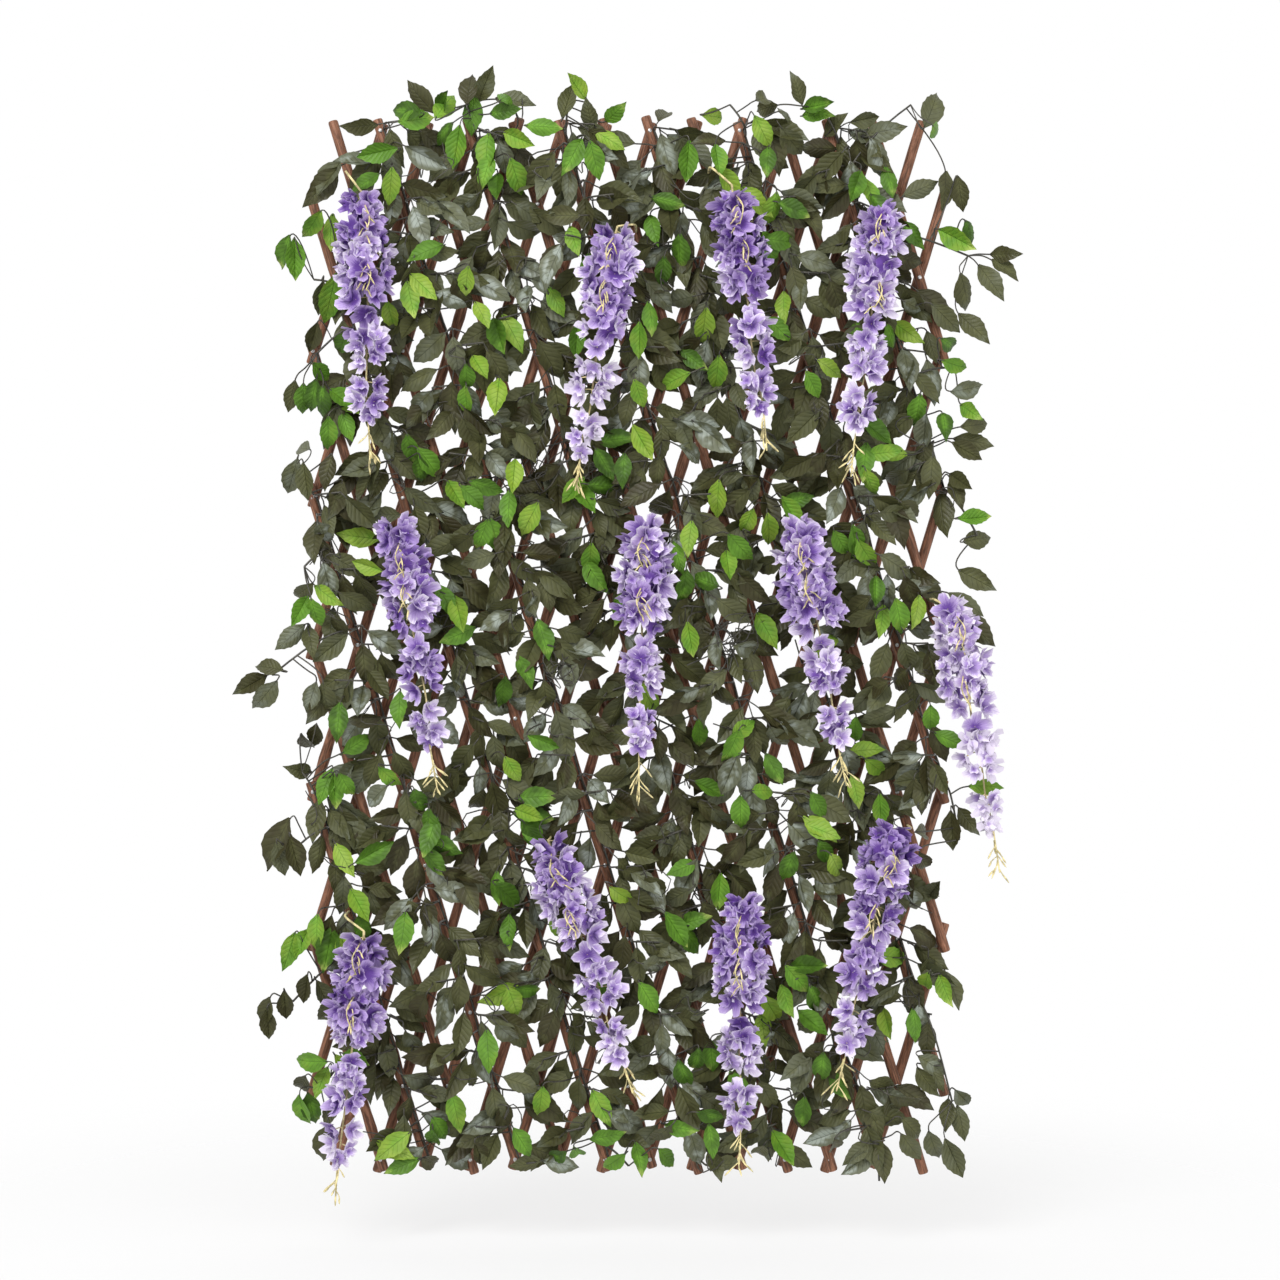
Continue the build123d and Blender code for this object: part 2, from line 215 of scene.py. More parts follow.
# Young leaves over the middle: the leaf's middle, in the same millimetres, and the turn of its tip
BRIGHT_INNER = (
    (-327, 643, 188), (-343, 604, 215), (-309, 596, -95), (-246, 667, 215), (-223, 649, -100),
    (-272, 686, 10), (-203, 693, -95), (-186, 641, -100), (-169, 596, -88), (-143, 607, -70),
    (-186, 617, -110), (-139, 660, -25), (-109, 677, -5), (-72, 637, -115), (-42, 630, -75),
    (-23, 660, -30), (-159, 697, 5), (-236, 710, 60), (-369, 317, -40), (-266, 514, 200),
    (-266, 467, -45), (-283, 450, -78), (-211, 471, -100), (-70, 527, -75), (-53, 491, -95),
    (-189, 431, -60), (-166, 401, -70), (-149, 407, -60), (-67, 397, -95), (-192, 360, -60),
    (-209, 345, -85), (-212, 315, -95), (-170, 321, -95), (-309, 427, -80), (-283, 254, -80),
    (-12, 270, 10), (78, 630, -95), (117, 630, -85), (132, 600, -60), (178, 667, -60), (183, 630, -95),
    (53, 578, -20), (169, 577, -50), (192, 564, -95), (220, 568, -20), (203, 527, -5), (186, 514, -70),
    (296, 596, -110), (319, 587, -70), (343, 607, -75), (330, 568, -60), (46, 484, -95), (66, 508, -95),
    (33, 427, -75), (16, 397, -90), (373, 534, -60), (296, 397, -100), (349, 401, -50), (366, 407, -40),
    (203, 441, -95), (199, 411, -40), (100, 411, -95), (87, 371, -40), (57, 345, 200), (117, 351, -95),
    (243, 338, -60), (266, 360, -30), (379, 300, -95), (340, 251, 175), (323, 278, -40), (20, 264, -60),
    (-272, 224, -95), (-256, 235, -50), (-223, 194, -60), (-199, 191, -40), (-182, 205, -20),
    (-156, 177, -95), (-149, 218, -95), (-190, 141, -110), (-170, 138, -70), (-130, 161, -120),
    (-55, 191, -60), (-70, 201, -130), (-27, 205, -10), (-29, 235, -60), (-6, 227, -95),
    (-353, 141, 175), (-339, 104, 160), (-236, 57, -60), (-219, 38, -75), (-223, 12, 205),
    (-49, 108, -95), (-42, 87, -60), (-162, -65, -95), (-132, -35, -60), (-299, -85, -95),
    (-378, -102, -95), (-350, -128, 30), (-383, -192, -90), (-309, -175, -50), (-272, -209, -75),
    (-263, -241, -100), (-149, -164, -60), (-115, -198, 5), (-123, -224, -10), (-123, -245, -60),
    (-109, -125, -20), (117, 188, -95), (80, 138, -100), (66, 115, -70), (156, 158, -110),
    (186, 147, -80), (149, 124, -50), (131, 102, -85), (96, 85, 160), (74, 72, -95), (223, 189, 15),
    (213, 171, -60), (316, 207, -75), (336, 251, 5), (310, 238, -95), (280, 130, -60), (299, 130, -75),
    (313, 115, -60), (323, 68, -95), (333, 31, -95), (356, 34, -75), (379, 42, -95), (183, 18, -60),
    (267, 12, 20), (263, -22, -25), (396, -99, -85), (420, -125, -30), (443, -25, -60), (153, -108, 35),
    (136, -136, -110), (95, -119, -80), (106, -188, -30), (192, -162, -60), (183, -188, 5),
    (147, -222, -90), (299, -192, -75), (313, -136, 10), (326, -162, -40), (330, -215, -85),
    (250, -211, -60), (253, -239, -30), (296, -115, -95), (-259, -252, -110), (-255, -286, -60),
    (-242, -265, -30), (-330, -269, 30), (-369, -282, -60), (-349, -342, -60), (-345, -372, -80),
    (-126, -222, -20), (-122, -252, -60), (-173, -318, -95), (-152, -329, -40), (-156, -376, -95),
    (-169, -458, -150), (-146, -472, -70), (-126, -452, -20), (-42, -452, -110), (-293, -378, -95),
    (-369, -555, -60), (-352, -542, -20), (-182, -532, -85), (-242, -636, -60), (-223, -612, -75),
    (-302, -659, -20), (-136, -651, -60), (-33, -606, -60), (-25, -642, 10), (-6, -329, -40),
    (-113, -599, -95), (256, -243, -20), (259, -273, -60), (209, -292, -110), (276, -292, -60),
    (70, -292, 200), (119, -322, -95), (87, -359, 20), (63, -372, -60), (89, -389, -45), (239, -419, 0),
    (223, -438, -50), (190, -479, -60), (207, -466, -75), (250, -466, -60), (243, -495, -40),
    (177, -502, -85), (349, -408, -10), (74, -565, -75), (89, -545, -100), (110, -539, -85),
    (276, -576, -60), (253, -555, -95), (70, -632, -10), (110, -615, -20), (110, -649, -80),
    (229, -612, -95), (203, -659, -60), (340, -495, -75), (33, 542, -80), (-93, 450, -60),
    (16, 326, -70), (-108, 7, -70), (-10, 46, -95), (29, -72, -60), (82, 7, -80), (-88, -372, -60),
    (29, -463, -60), (147, -581, -60),
)

# Leaves whose colour gets a painted silvery sheen, by their middles in the same millimetres
PAINTED_SHEEN_SPOTS = (
    (-149, 529), (-170, 450), (-237, 548), (-127, 470), (-108, 444), (-7, 607), (336, -672), (388, -281),
    (297, -228), (343, 98), (-232, -72), (-336, -202), (-473, -483), (-86, 640), (-60, 668), (150, 672),
)

# Tangles of bare wire in front of the leaves: the middle and the reach, in the same millimetres
TANGLES = ((-118, 228, 34), (-27, 202, 36), (127, 7, 48), (-88, -20, 30))

CAD_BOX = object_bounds()


def lattice_place(i, j):
    """The point at half column i and half row j, between the two layers of sticks."""
    return Vector(((i - COLUMNS) * ACROSS, 0, (j - ROWS) * UP))


def has_nail(i, j):
    """Whether two sticks cross here."""
    return (i + j) in FRONT_SUMS and (i - j) in REAR_DIFFERENCES


def stick_places(line, front):
    """The places that a stick passes, from its low end to its high end."""
    found = []
    for j in range(2 * ROWS + 1):
        i = line - j if front else line + j
        if 0 <= i <= 2 * COLUMNS:
            found.append((i, j))
    return found


# Selecting and shaping, as by hand

def alone(thing=None):
    """Deselects everything, and then selects and activates this one object."""
    if bpy.context.object and bpy.context.object.mode != "OBJECT":
        bpy.ops.object.mode_set(mode="OBJECT")
    for o in bpy.context.selected_objects:
        o.select_set(False)
    if thing:
        thing.select_set(True)
        bpy.context.view_layer.objects.active = thing


def edit_points():
    """Starts edit mode, where points are picked."""
    bpy.ops.object.mode_set(mode="EDIT")
    bpy.ops.mesh.select_mode(type="VERT")


def pick(test, among_picked=False):
    """Selects the points that pass the test, out of all of them or only of those picked before."""
    mesh = bpy.context.edit_object.data
    shape = bmesh.from_edit_mesh(mesh)
    kept = [point for point in shape.verts if (point.select or not among_picked) and test(point.co)]
    for part in (*shape.faces, *shape.edges, *shape.verts):
        part.select = False
    for point in kept:
        point.select = True
    shape.select_flush(True)
    bmesh.update_edit_mesh(mesh)


def resize(x, y, z, centre=(0, 0, 0)):
    """Scales the picked points about a centre."""
    bpy.ops.transform.resize(value=(x, y, z), center_override=centre)


def shift(x, y, z):
    """Moves the picked points."""
    bpy.ops.transform.translate(value=(x, y, z))


def back_up(inner, drop, gap):
    """Gives a sheet a back that meets it at its rim, and lies lower where the inner test passes."""
    bpy.ops.mesh.select_all(action="SELECT")
    bpy.ops.mesh.duplicate()
    bpy.ops.mesh.flip_normals()
    pick(inner, among_picked=True)
    shift(0, 0, -drop)
    bpy.ops.mesh.select_all(action="SELECT")
    bpy.ops.mesh.remove_doubles(threshold=gap)


def smooth(angle):
    """Ends edit mode, and shades smooth the edges that turn less than this many degrees."""
    bpy.ops.object.mode_set(mode="OBJECT")
    bpy.ops.object.shade_smooth_by_angle(angle=math.radians(angle))


def settle(thing, name):
    """Names an object and moves its place into its mesh."""
    alone(thing)
    bpy.ops.object.transform_apply(location=True, rotation=True, scale=True)
    thing.name = name
    thing.data.name = name
    return thing


def join(things, name):
    """Joins objects into one and puts the place of the result into its mesh."""
    alone(things[0])
    for thing in things:
        thing.select_set(True)
    bpy.ops.object.join()
    return settle(bpy.context.object, name)


def copy_of(pattern, matrix, tone=None):
    """A copy of a pattern with its own mesh, at a place, with a tone for its colour."""
    made = pattern.copy()
    made.data = pattern.data.copy()
    made.data.transform(matrix)
    bpy.context.scene.collection.objects.link(made)
    if tone is not None:
        tones = made.data.attributes.new("tone", "FLOAT", "POINT")
        tones.data.foreach_set("value", [tone] * len(made.data.vertices))
    return made


def finish_piece(thing, finish, body, slot, *nodes):
    """Gives a piece its finish and body, and hides the CAD nodes that it stands for; the record slot is not
    used.
    """
    thing.data.materials.append(finish_of(finish))
    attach(thing, body)
    if nodes:
        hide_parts(*nodes)


def wires(paths, roundness):
    """Round wires in one mesh, each along one smooth line: its radius, and its points."""
    line = bpy.data.curves.new("wires", "CURVE")
    line.dimensions = "3D"
    for radius, points in paths:
        spline = line.splines.new("NURBS")
        spline.points.add(len(points) - 1)
        for held, point in zip(spline.points, points):
            held.co = (*point[:3], 1)
            held.radius = radius / MM * (point[3] if len(point) > 3 else 1)
        spline.order_u = 3
        spline.use_endpoint_u = True
        spline.resolution_u = 3
    line.bevel_depth = MM
    line.bevel_resolution = roundness
    line.use_fill_caps = True
    thing = bpy.data.objects.new("wires", line)
    bpy.context.scene.collection.objects.link(thing)
    alone(thing)
    bpy.ops.object.convert(target="MESH")
    bpy.ops.object.shade_smooth()
    return bpy.context.object


# Materials

BLACK = (0, 0, 0, 1)
GREY = (0.5, 0.5, 0.5, 1)
WHITE = (1, 1, 1, 1)


def new_material(name):
    """The node tree and the shader of a new material."""
    made = bpy.data.materials.new(name)
    made.use_nodes = True
    tree = made.node_tree
    tree.nodes.clear()
    out = tree.nodes.new("ShaderNodeOutputMaterial")
    shader = tree.nodes.new("ShaderNodeBsdfPrincipled")
    tree.links.new(shader.outputs["BSDF"], out.inputs["Surface"])
    return tree, shader


def new_group(name, inputs, outputs):
    """A node group with named sockets: an input is a colour, a number, or a vector where it is None."""
    made = bpy.data.node_groups.new(name, "ShaderNodeTree")
    for label, value in inputs.items():
        kind = "Vector" if value is None else "Color" if isinstance(value, tuple) else "Float"
        socket = made.interface.new_socket(label, in_out="INPUT", socket_type="NodeSocket" + kind)
        if value is not None:
            socket.default_value = value
    for label in outputs:
        kind = "Color" if label == "Color" else "Float"
        made.interface.new_socket(label, in_out="OUTPUT", socket_type="NodeSocket" + kind)
    made.nodes.new("NodeGroupInput")
    made.nodes.new("NodeGroupOutput")
    return made, made.nodes["Group Input"].outputs, made.nodes["Group Output"].inputs


def feed(tree, socket, value):
    """Sets a socket, or links another socket to it."""
    if isinstance(value, bpy.types.NodeSocket):
        tree.links.new(value, socket)
    elif value is not None:
        socket.default_value = value


def calc(tree, operation, a, b=None):
    """A Math node's result."""
    node = tree.nodes.new("ShaderNodeMath")
    node.operation = operation
    for socket, value in zip(node.inputs, (a, b)):
        feed(tree, socket, value)
    return node.outputs[0]


def times(tree, a, b):
    """The product of two values."""
    return calc(tree, "MULTIPLY", a, b)


def plus(tree, a, b):
    """The sum of two values."""
    return calc(tree, "ADD", a, b)


def apart(tree, a, b):
    """How far one value lies from another."""
    return calc(tree, "ABSOLUTE", calc(tree, "SUBTRACT", a, b))


def swing(tree, value, width):
    """A value that lies about a half, made to swing this widely about zero."""
    return times(tree, calc(tree, "SUBTRACT", value, 0.5), width)


def span(tree, value, low, high, out_low=0.0, out_high=1.0, kind="SMOOTHSTEP"):
    """A value moved from one range to another, clamped."""
    node = tree.nodes.new("ShaderNodeMapRange")
    node.interpolation_type = kind
    labels = ("Value", "From Min", "From Max", "To Min", "To Max")
    for label, given in zip(labels, (value, low, high, out_low, out_high)):
        feed(tree, node.inputs[label], given)
    return node.outputs["Result"]


def blend_colour(tree, share, a, b):
    """Two colours mixed by a share."""
    node = tree.nodes.new("ShaderNodeMix")
    node.data_type = "RGBA"
    for index, value in ((0, share), (6, a), (7, b)):
        feed(tree, node.inputs[index], value)
    return node.outputs[2]


def noise(tree, vector, scale, detail=3.0, rough=0.55):
    """A noise pattern."""
    node = tree.nodes.new("ShaderNodeTexNoise")
    for label, value in (("Scale", scale), ("Detail", detail), ("Roughness", rough), ("Vector", vector)):
        feed(tree, node.inputs[label], value)
    return node.outputs["Fac"]


def group_in(tree, group, **values):
    """A group placed in a tree, with its inputs fed by name."""
    node = tree.nodes.new("ShaderNodeGroup")
    node.node_tree = group
    for label, value in values.items():
        feed(tree, node.inputs[label], value)
    return node.outputs


def dress(tree, shader, colour, rough, height, strength, distance):
    """Feeds a shader its colour and roughness, and bumps it by a height."""
    node = tree.nodes.new("ShaderNodeBump")
    node.inputs["Strength"].default_value = strength
    node.inputs["Distance"].default_value = distance
    feed(tree, node.inputs["Height"], height)
    feed(tree, shader.inputs["Base Color"], colour)
    feed(tree, shader.inputs["Roughness"], rough)
    feed(tree, shader.inputs["Normal"], node.outputs["Normal"])


def object_place(tree):
    """The Object coordinates of a material."""
    return tree.nodes.new("ShaderNodeTexCoord").outputs["Object"]


def parts_of(tree, vector):
    """The shares of a vector, one by one."""
    parts = tree.nodes.new("ShaderNodeSeparateXYZ")
    tree.links.new(vector, parts.inputs[0])
    return parts.outputs


def map_place(tree):
    """The two shares of a piece's own UV map."""
    return parts_of(tree, tree.nodes.new("ShaderNodeTexCoord").outputs["UV"])[:2]


def tone_of(tree):
    """The tone that each copy carries."""
    node = tree.nodes.new("ShaderNodeAttribute")
    node.attribute_name = "tone"
    return node.outputs["Fac"]


def vein_group():
    """Veins of a leaf: a midrib and side veins that sweep towards the tip."""
    inputs = {"Across": 0.5, "Along": 0.5, "Pairs": 8.0}
    group, ins, outs = new_group("leaf_veins", inputs, ("Mask", "Height"))
    off = apart(group, ins["Across"], 0.5)
    midrib = span(group, off, 0.035, 0.0)
    swept = calc(group, "SUBTRACT", ins["Along"], times(group, off, 0.42))
    near = apart(group, calc(group, "FRACT", times(group, swept, ins["Pairs"])), 0.5)
    side = times(group, span(group, near, 0.10, 0.0), span(group, off, 0.46, 0.30))
    mask = calc(group, "MAXIMUM", midrib, times(group, side, 0.7))
    swell = times(group, span(group, near, 0.0, 0.5), 0.8)
    feed(group, outs["Mask"], mask)
    feed(group, outs["Height"], calc(group, "SUBTRACT", swell, mask))
    return group


def spread_group():
    """Three colours chosen by a tone from 0 to 1, mottled by a slow noise."""
    inputs = {"Tone": 0.5, "Dark": BLACK, "Middle": GREY, "Light": WHITE}
    inputs |= {"Mottle": 0.15, "Place": None, "Fineness": 60.0}
    group, ins, outs = new_group("tone_spread", inputs, ("Color",))
    cloud = noise(group, ins["Place"], ins["Fineness"], 3, 0.5)
    tone = plus(group, ins["Tone"], swing(group, cloud, times(group, ins["Mottle"], 4.0)))
    lower = blend_colour(group, span(group, tone, 0.0, 0.5, kind="LINEAR"), ins["Dark"], ins["Middle"])
    upper = span(group, tone, 0.5, 1.0, kind="LINEAR")
    feed(group, outs["Color"], blend_colour(group, upper, lower, ins["Light"]))
    return group


def bark_group():
    """Willow bark: streaks along the stick, dark pores and scuffed, paler ridges."""
    inputs = {"Along": None, "Deep": BLACK, "Bark": GREY, "Scuff": WHITE}
    group, ins, outs = new_group("willow_bark", inputs, ("Color", "Roughness", "Height"))
    stretched = group.nodes.new("ShaderNodeMapping")
    stretched.inputs["Scale"].default_value = (1, 1, 0.10)
    feed(group, stretched.inputs["Vector"], ins["Along"])
    streak = noise(group, stretched.outputs[0], 420, 4, 0.6)
    patch = noise(group, ins["Along"], 26, 4, 0.6)
    pores = noise(group, ins["Along"], 620, 2, 0.5)
    mix = blend_colour(group, span(group, streak, 0.36, 0.62), ins["Deep"], ins["Bark"])
    worn = times(group, span(group, patch, 0.54, 0.70), span(group, streak, 0.40, 0.70))
    mix = blend_colour(group, worn, mix, ins["Scuff"])
    dark = times(group, span(group, patch, 0.40, 0.30), 0.6)
    feed(group, outs["Color"], blend_colour(group, dark, mix, ins["Deep"]))
    feed(group, outs["Roughness"], span(group, streak, 0.3, 0.7, 0.78, 0.52))
    feed(group, outs["Height"], plus(group, streak, times(group, pores, 0.35)))
    return group


def petal_group():
    """Petal colour from the throat to the rim, with fine streaks that fan out."""
    inputs = {"Round": 0.5, "Out": 0.5, "Tone": 0.5, "Deep": BLACK, "Lilac": GREY, "Pale": WHITE}
    group, ins, outs = new_group("petal_fan", inputs, ("Color", "Height"))
    fan = group.nodes.new("ShaderNodeCombineXYZ")
    for socket, label, scale in zip(fan.inputs, ("Round", "Out", "Tone"), (70.0, 2.0, 37.0)):
        feed(group, socket, times(group, ins[label], scale))
    streak = noise(group, fan.outputs[0], 1.0, 3, 0.6)
    reach = plus(group, ins["Out"], swing(group, streak, 0.9))
    reach = plus(group, reach, swing(group, ins["Tone"], 0.9))
    inner = blend_colour(group, span(group, reach, 0.12, 0.62), ins["Deep"], ins["Lilac"])
    feed(group, outs["Color"], blend_colour(group, span(group, reach, 0.60, 1.15), inner, ins["Pale"]))
    feed(group, outs["Height"], streak)
    return group


def leaf_material(name, tones, vein, tip, sheen, groups, gloss, mottle):
    """A waxed cloth leaf with printed veins, a paler tip, a painted highlight along its midrib, and a painted
    sheen on leaves of high tone.
    """
    tree, shader = new_material(name)
    across, along = map_place(tree)
    place, tone = object_place(tree), tone_of(tree)
    veins = group_in(tree, groups["veins"], Across=across, Along=along)
    shades = {label: (*shade, 1) for label, shade in zip(("Dark", "Middle", "Light"), tones)}
    base = group_in(tree, groups["spread"], Tone=tone, Mottle=mottle, Place=place, **shades)
    off = apart(tree, across, 0.5)
    patch = noise(tree, place, 38, 2)
    # Painted sheen: on leaves of high tone, noise patches that fade towards the rim are painted towards the
    # sheen colour
    sheen_patches = times(tree, span(tree, tone, 0.60, 0.95), span(tree, noise(tree, place, 55, 2), 0.44, 0.60))
    painted_sheen = times(tree, sheen_patches, span(tree, off, 0.44, 0.20))
    # Painted highlight: a lighter streak along the midrib, in noise patches
    painted_midrib_highlight = times(tree, span(tree, off, 0.30, 0.02), span(tree, patch, 0.42, 0.62))
    end = times(tree, span(tree, along, 0.62, 0.98), span(tree, patch, 0.50, 0.66))
    colour = base["Color"]
    # Paints the midrib highlight and the sheen into the colour, then the paler tip and the printed veins
    for mask, strength, paint in (
        (painted_midrib_highlight, 0.45, tones[1] * 1.8), (painted_sheen, 0.85, sheen), (end, 0.75, tip), (veins["Mask"], 0.6, vein),
    ):
        colour = blend_colour(tree, times(tree, mask, strength), colour, (*paint, 1))
    weave = noise(tree, place, 900, 2)
    worn = plus(tree, times(tree, patch, 0.5), times(tree, weave, 0.5))
    rough = span(tree, worn, 0.35, 0.65, gloss - 0.12, gloss + 0.12)
    height = plus(tree, veins["Height"], times(tree, weave, 0.25))
    dress(tree, shader, colour, rough, height, 0.55, 0.6 * MM)
    shader.inputs["Specular IOR Level"].default_value = 0.22


def bark_material(name, lean, bark, groups):
    """Willow bark whose streaks run along sticks that lean this far."""
    tree, shader = new_material(name)
    turned = tree.nodes.new("ShaderNodeMapping")
    turned.inputs["Rotation"].default_value = (0, lean, 0)
    feed(tree, turned.inputs["Vector"], object_place(tree))
    skin = group_in(
        tree,
        groups["bark"],
        Along=turned.outputs[0],
        Deep=(*(bark * 0.35), 1),
        Bark=(*bark, 1),
        Scuff=(*(bark * 1.5 + Vector((0.045, 0.035, 0.03))), 1),
    )
    dress(tree, shader, skin["Color"], skin["Roughness"], skin["Height"], 0.7, 0.8 * MM)


def petal_material(look, groups):
    """Thin silk petals."""
    tree, shader = new_material("petal_silk")
    around, out = map_place(tree)
    shades = {"Deep": (*look.deep_petal, 1), "Lilac": (*look.petal, 1), "Pale": (*look.pale_petal, 1)}
    fan = group_in(tree, groups["petal"], Round=around, Out=out, Tone=tone_of(tree), **shades)
    dress(tree, shader, fan["Color"], 0.72, fan["Height"], 0.5, 0.6 * MM)
    shader.inputs["Sheen Weight"].default_value = 0.15


def wire_material(name, base, rough):
    """Wire wrapped in paper tape."""
    tree, shader = new_material(name)
    place = object_place(tree)
    shade = span(tree, noise(tree, place, 120), 0.35, 0.65)
    skin = blend_colour(tree, shade, (*(base * 0.6), 1), (*(base * 1.35), 1))
    rough = span(tree, noise(tree, place, 300), 0.3, 0.7, rough - 0.08, rough + 0.1)
    dress(tree, shader, skin, rough, noise(tree, place, 1400), 0.4, 0.4 * MM)


def steel_material(name):
    """Bright nail steel with a fine grain."""
    tree, shader = new_material(name)
    grain = noise(tree, object_place(tree), 900, 3)
    colour = blend_colour(tree, span(tree, grain, 0.4, 0.7), (0.40, 0.39, 0.38, 1), (0.72, 0.72, 0.73, 1))
    dress(tree, shader, colour, span(tree, grain, 0.3, 0.7, 0.28, 0.52), grain, 0.3, 0.2 * MM)
    shader.inputs["Metallic"].default_value = 1.0


def make_materials(look):
    """All the finishes of the trellis."""
    groups = {"veins": vein_group(), "spread": spread_group(), "bark": bark_group(), "petal": petal_group()}
    # The silvery colour is the painted sheen of the dark leaves; it also lightens their lightest tone and
    # their tips
    dark, bright, sheen_silver = Vector(look.dark_leaf), Vector(look.bright_leaf), Vector(look.silver_sheen_leaf)
    tones = (dark * 0.38 + Vector((0.008, 0.001, 0)), dark, dark.lerp(sheen_silver, 0.22))
    leaf_material("leaf_dark", tones, dark * 0.3, dark.lerp(sheen_silver, 0.3), sheen_silver, groups, 0.42, 0.14)
    tones = (bright * 0.36, bright, bright * 1.4 + Vector((0.12, 0.04, 0.01)))
    tip = bright * 1.2 + Vector((0.42, 0.34, 0.14))
    # The painted sheen of the bright leaves
    sheen = bright * 1.3 + Vector((0.16, 0.10, 0.05))
    leaf_material("leaf_bright", tones, bright * 0.35, tip, sheen, groups, 0.48, 0.20)
    bark_material("willow_front", HALF_ANGLE, Vector(look.bark), groups)
    bark_material("willow_rear", -HALF_ANGLE, Vector(look.bark), groups)
    petal_material(look, groups)
    wire_material("vine_wrap", Vector((0.050, 0.046, 0.034)), 0.42)
    wire_material("cream_stem", Vector((0.70, 0.60, 0.30)), 0.6)
    steel_material("nail_bright")


def finish_of(name):
    """A finish by name, made the first time that it is asked for."""
    if name not in bpy.data.materials:
        make_materials(bpy.context.scene.trellis_look)
    return bpy.data.materials[name]


# Patterns

LEAF_WIDTHS = (0.10, 0.40, 0.68, 0.86, 0.97, 1.0, 0.95, 0.86, 0.72, 0.55, 0.37, 0.18, 0.0)
OUTER_LOBES = (0.66, 1.00, 1.05, 0.99)
INNER_LOBES = (0.62, 1.08, 1.04)


def leaf_pattern(name, size, fold, droop, curl):
    """A pointed, toothed leaf that grows along Y from the origin, with its face up."""
    rows = len(LEAF_WIDTHS) - 1
    step = size.leaf_length / rows
    alone()
    bpy.ops.mesh.primitive_grid_add(x_subdivisions=2, y_subdivisions=rows, size=1)
    leaf = bpy.context.object
    leaf.scale = (size.leaf_width, size.leaf_length, 1)
    leaf.location = (0, size.leaf_length / 2, 0)
    settle(leaf, name)
    edit_points()
    for row, width in enumerate(LEAF_WIDTHS):
        y = row * step
        tooth = row % 2 == 1 and 0 < row < rows - 1
        pick(lambda co: abs(co.y - y) < step * 0.2 and abs(co.x) > step * 0.2)
        resize(width * (1.03 if tooth else 0.97), 1, 1, (0, y, 0))
        lift = fold * width * size.leaf_width + curl * size.leaf_width * math.sin(row / rows * 9 + curl * 30)
        shift(0, step * 0.25 if tooth else 0, lift)
    for row in range(rows + 1):
        share = row / rows
        pick(lambda co: -step * 0.2 < co.y - row * step < step * 0.6)
        fall = droop * size.leaf_length * share * share
        shift(0, -abs(fall) * 0.35 * share, -fall)
    back_up(
        lambda co: abs(co.x) < step * 0.1 and co.y < size.leaf_length * 0.93, size.leaf_thickness, 0.04 * MM
    )
    smooth(50)
    return leaf


def crown(radius, around, cup, ruffle, lobes, draw):
    """One ruffled ring of petals that faces up along Z, closed at its throat at the origin."""
    alone()
    bpy.ops.mesh.primitive_circle_add(vertices=around, radius=radius, fill_type="NOTHING")
    flower = bpy.context.object
    edit_points()
    bpy.ops.mesh.select_all(action="SELECT")
    for shrink in (0.52, 0.25):
        bpy.ops.mesh.extrude_region_move()
        resize(shrink, shrink, 1)
    bpy.ops.mesh.edge_face_add()
    bpy.ops.mesh.select_all(action="SELECT")
    bpy.ops.mesh.normals_make_consistent(inside=False)
    bpy.ops.object.mode_set(mode="OBJECT")
    chart_round(flower.data, radius)
    bpy.ops.object.mode_set(mode="EDIT")
    for k in range(around):
        angle = 2 * math.pi * k / around
        ray = Vector((-math.sin(angle), math.cos(angle)))
        lobe = lobes[k % len(lobes)] * draw.uniform(0.92, 1.07)
        pleat = ruffle * (draw.uniform(-0.3, 1.3) if k % len(lobes) else -0.9)
        pick(lambda co: co.xy.length > radius * 0.6 and co.xy.normalized().dot(ray) > 0.99)
        resize(lobe, lobe, 1)
        shift(0, 0, radius * (cup + pleat + draw.uniform(-0.08, 0.08)))
        pick(lambda co: radius * 0.35 < co.xy.length < radius * 0.56 and co.xy.normalized().dot(ray) > 0.99)
        shift(0, 0, radius * (cup * 0.55 - pleat * 0.35))
    back_up(lambda co: co.xy.length < radius * 0.57, radius * 0.08, 0.02 * MM)
    smooth(60)
    return flower


def chart_round(mesh, radius):
    """Maps a flat ring: across by the turn about its middle, and up by the share of its radius."""
    chart = mesh.uv_layers[0] if mesh.uv_layers else mesh.uv_layers.new(name="UVMap")
    for face in mesh.polygons:
        first = None
        for loop in face.loop_indices:
            co = mesh.vertices[mesh.loops[loop].vertex_index].co
            turn = math.atan2(co.y, co.x) / (2 * math.pi) % 1
            first = turn if first is None else first
            if len(face.vertices) == 4 and abs(turn - first) > 0.5:
                turn -= math.copysign(1, turn - first)
            chart.data[loop].uv = (turn, co.xy.length / radius)


def floret_pattern(name, radius, cup, ruffle, seed):
    """A flower of five wide petals round a smaller folded crown."""
    draw = random.Random(seed)
    outer = crown(radius, 20, cup, ruffle, OUTER_LOBES, draw)
    inner = crown(radius * 0.52, 12, cup + 0.4, ruffle * 1.4, INNER_LOBES, draw)
    inner.location = (radius * 0.20, -radius * 0.14, radius * 0.14)
    inner.rotation_euler = (0.55, -0.5, 0.5)
    return join([outer, inner], name)


def leaf_turned(turn, pitch, roll):
    """The matrix that lays a leaf in the screen's plane, its tip turned up from X by so many degrees."""
    tip = heading(turn)
    face = Vector((0, -1, 0))
    lay = Matrix((tip.cross(face), tip, face)).transposed().to_4x4()
    return lay @ Matrix.Rotation(math.radians(pitch), 4, "X") @ Matrix.Rotation(math.radians(roll), 4, "Y")


def heading(turn):
    """The direction across the screen that is turned up from X by this many degrees."""
    return Vector((math.cos(math.radians(turn)), 0, math.sin(math.radians(turn))))


def fallen(turn, share):
    """A turn brought this share of the way to straight down."""
    return turn + share * ((-90 - turn + 180) % 360 - 180)


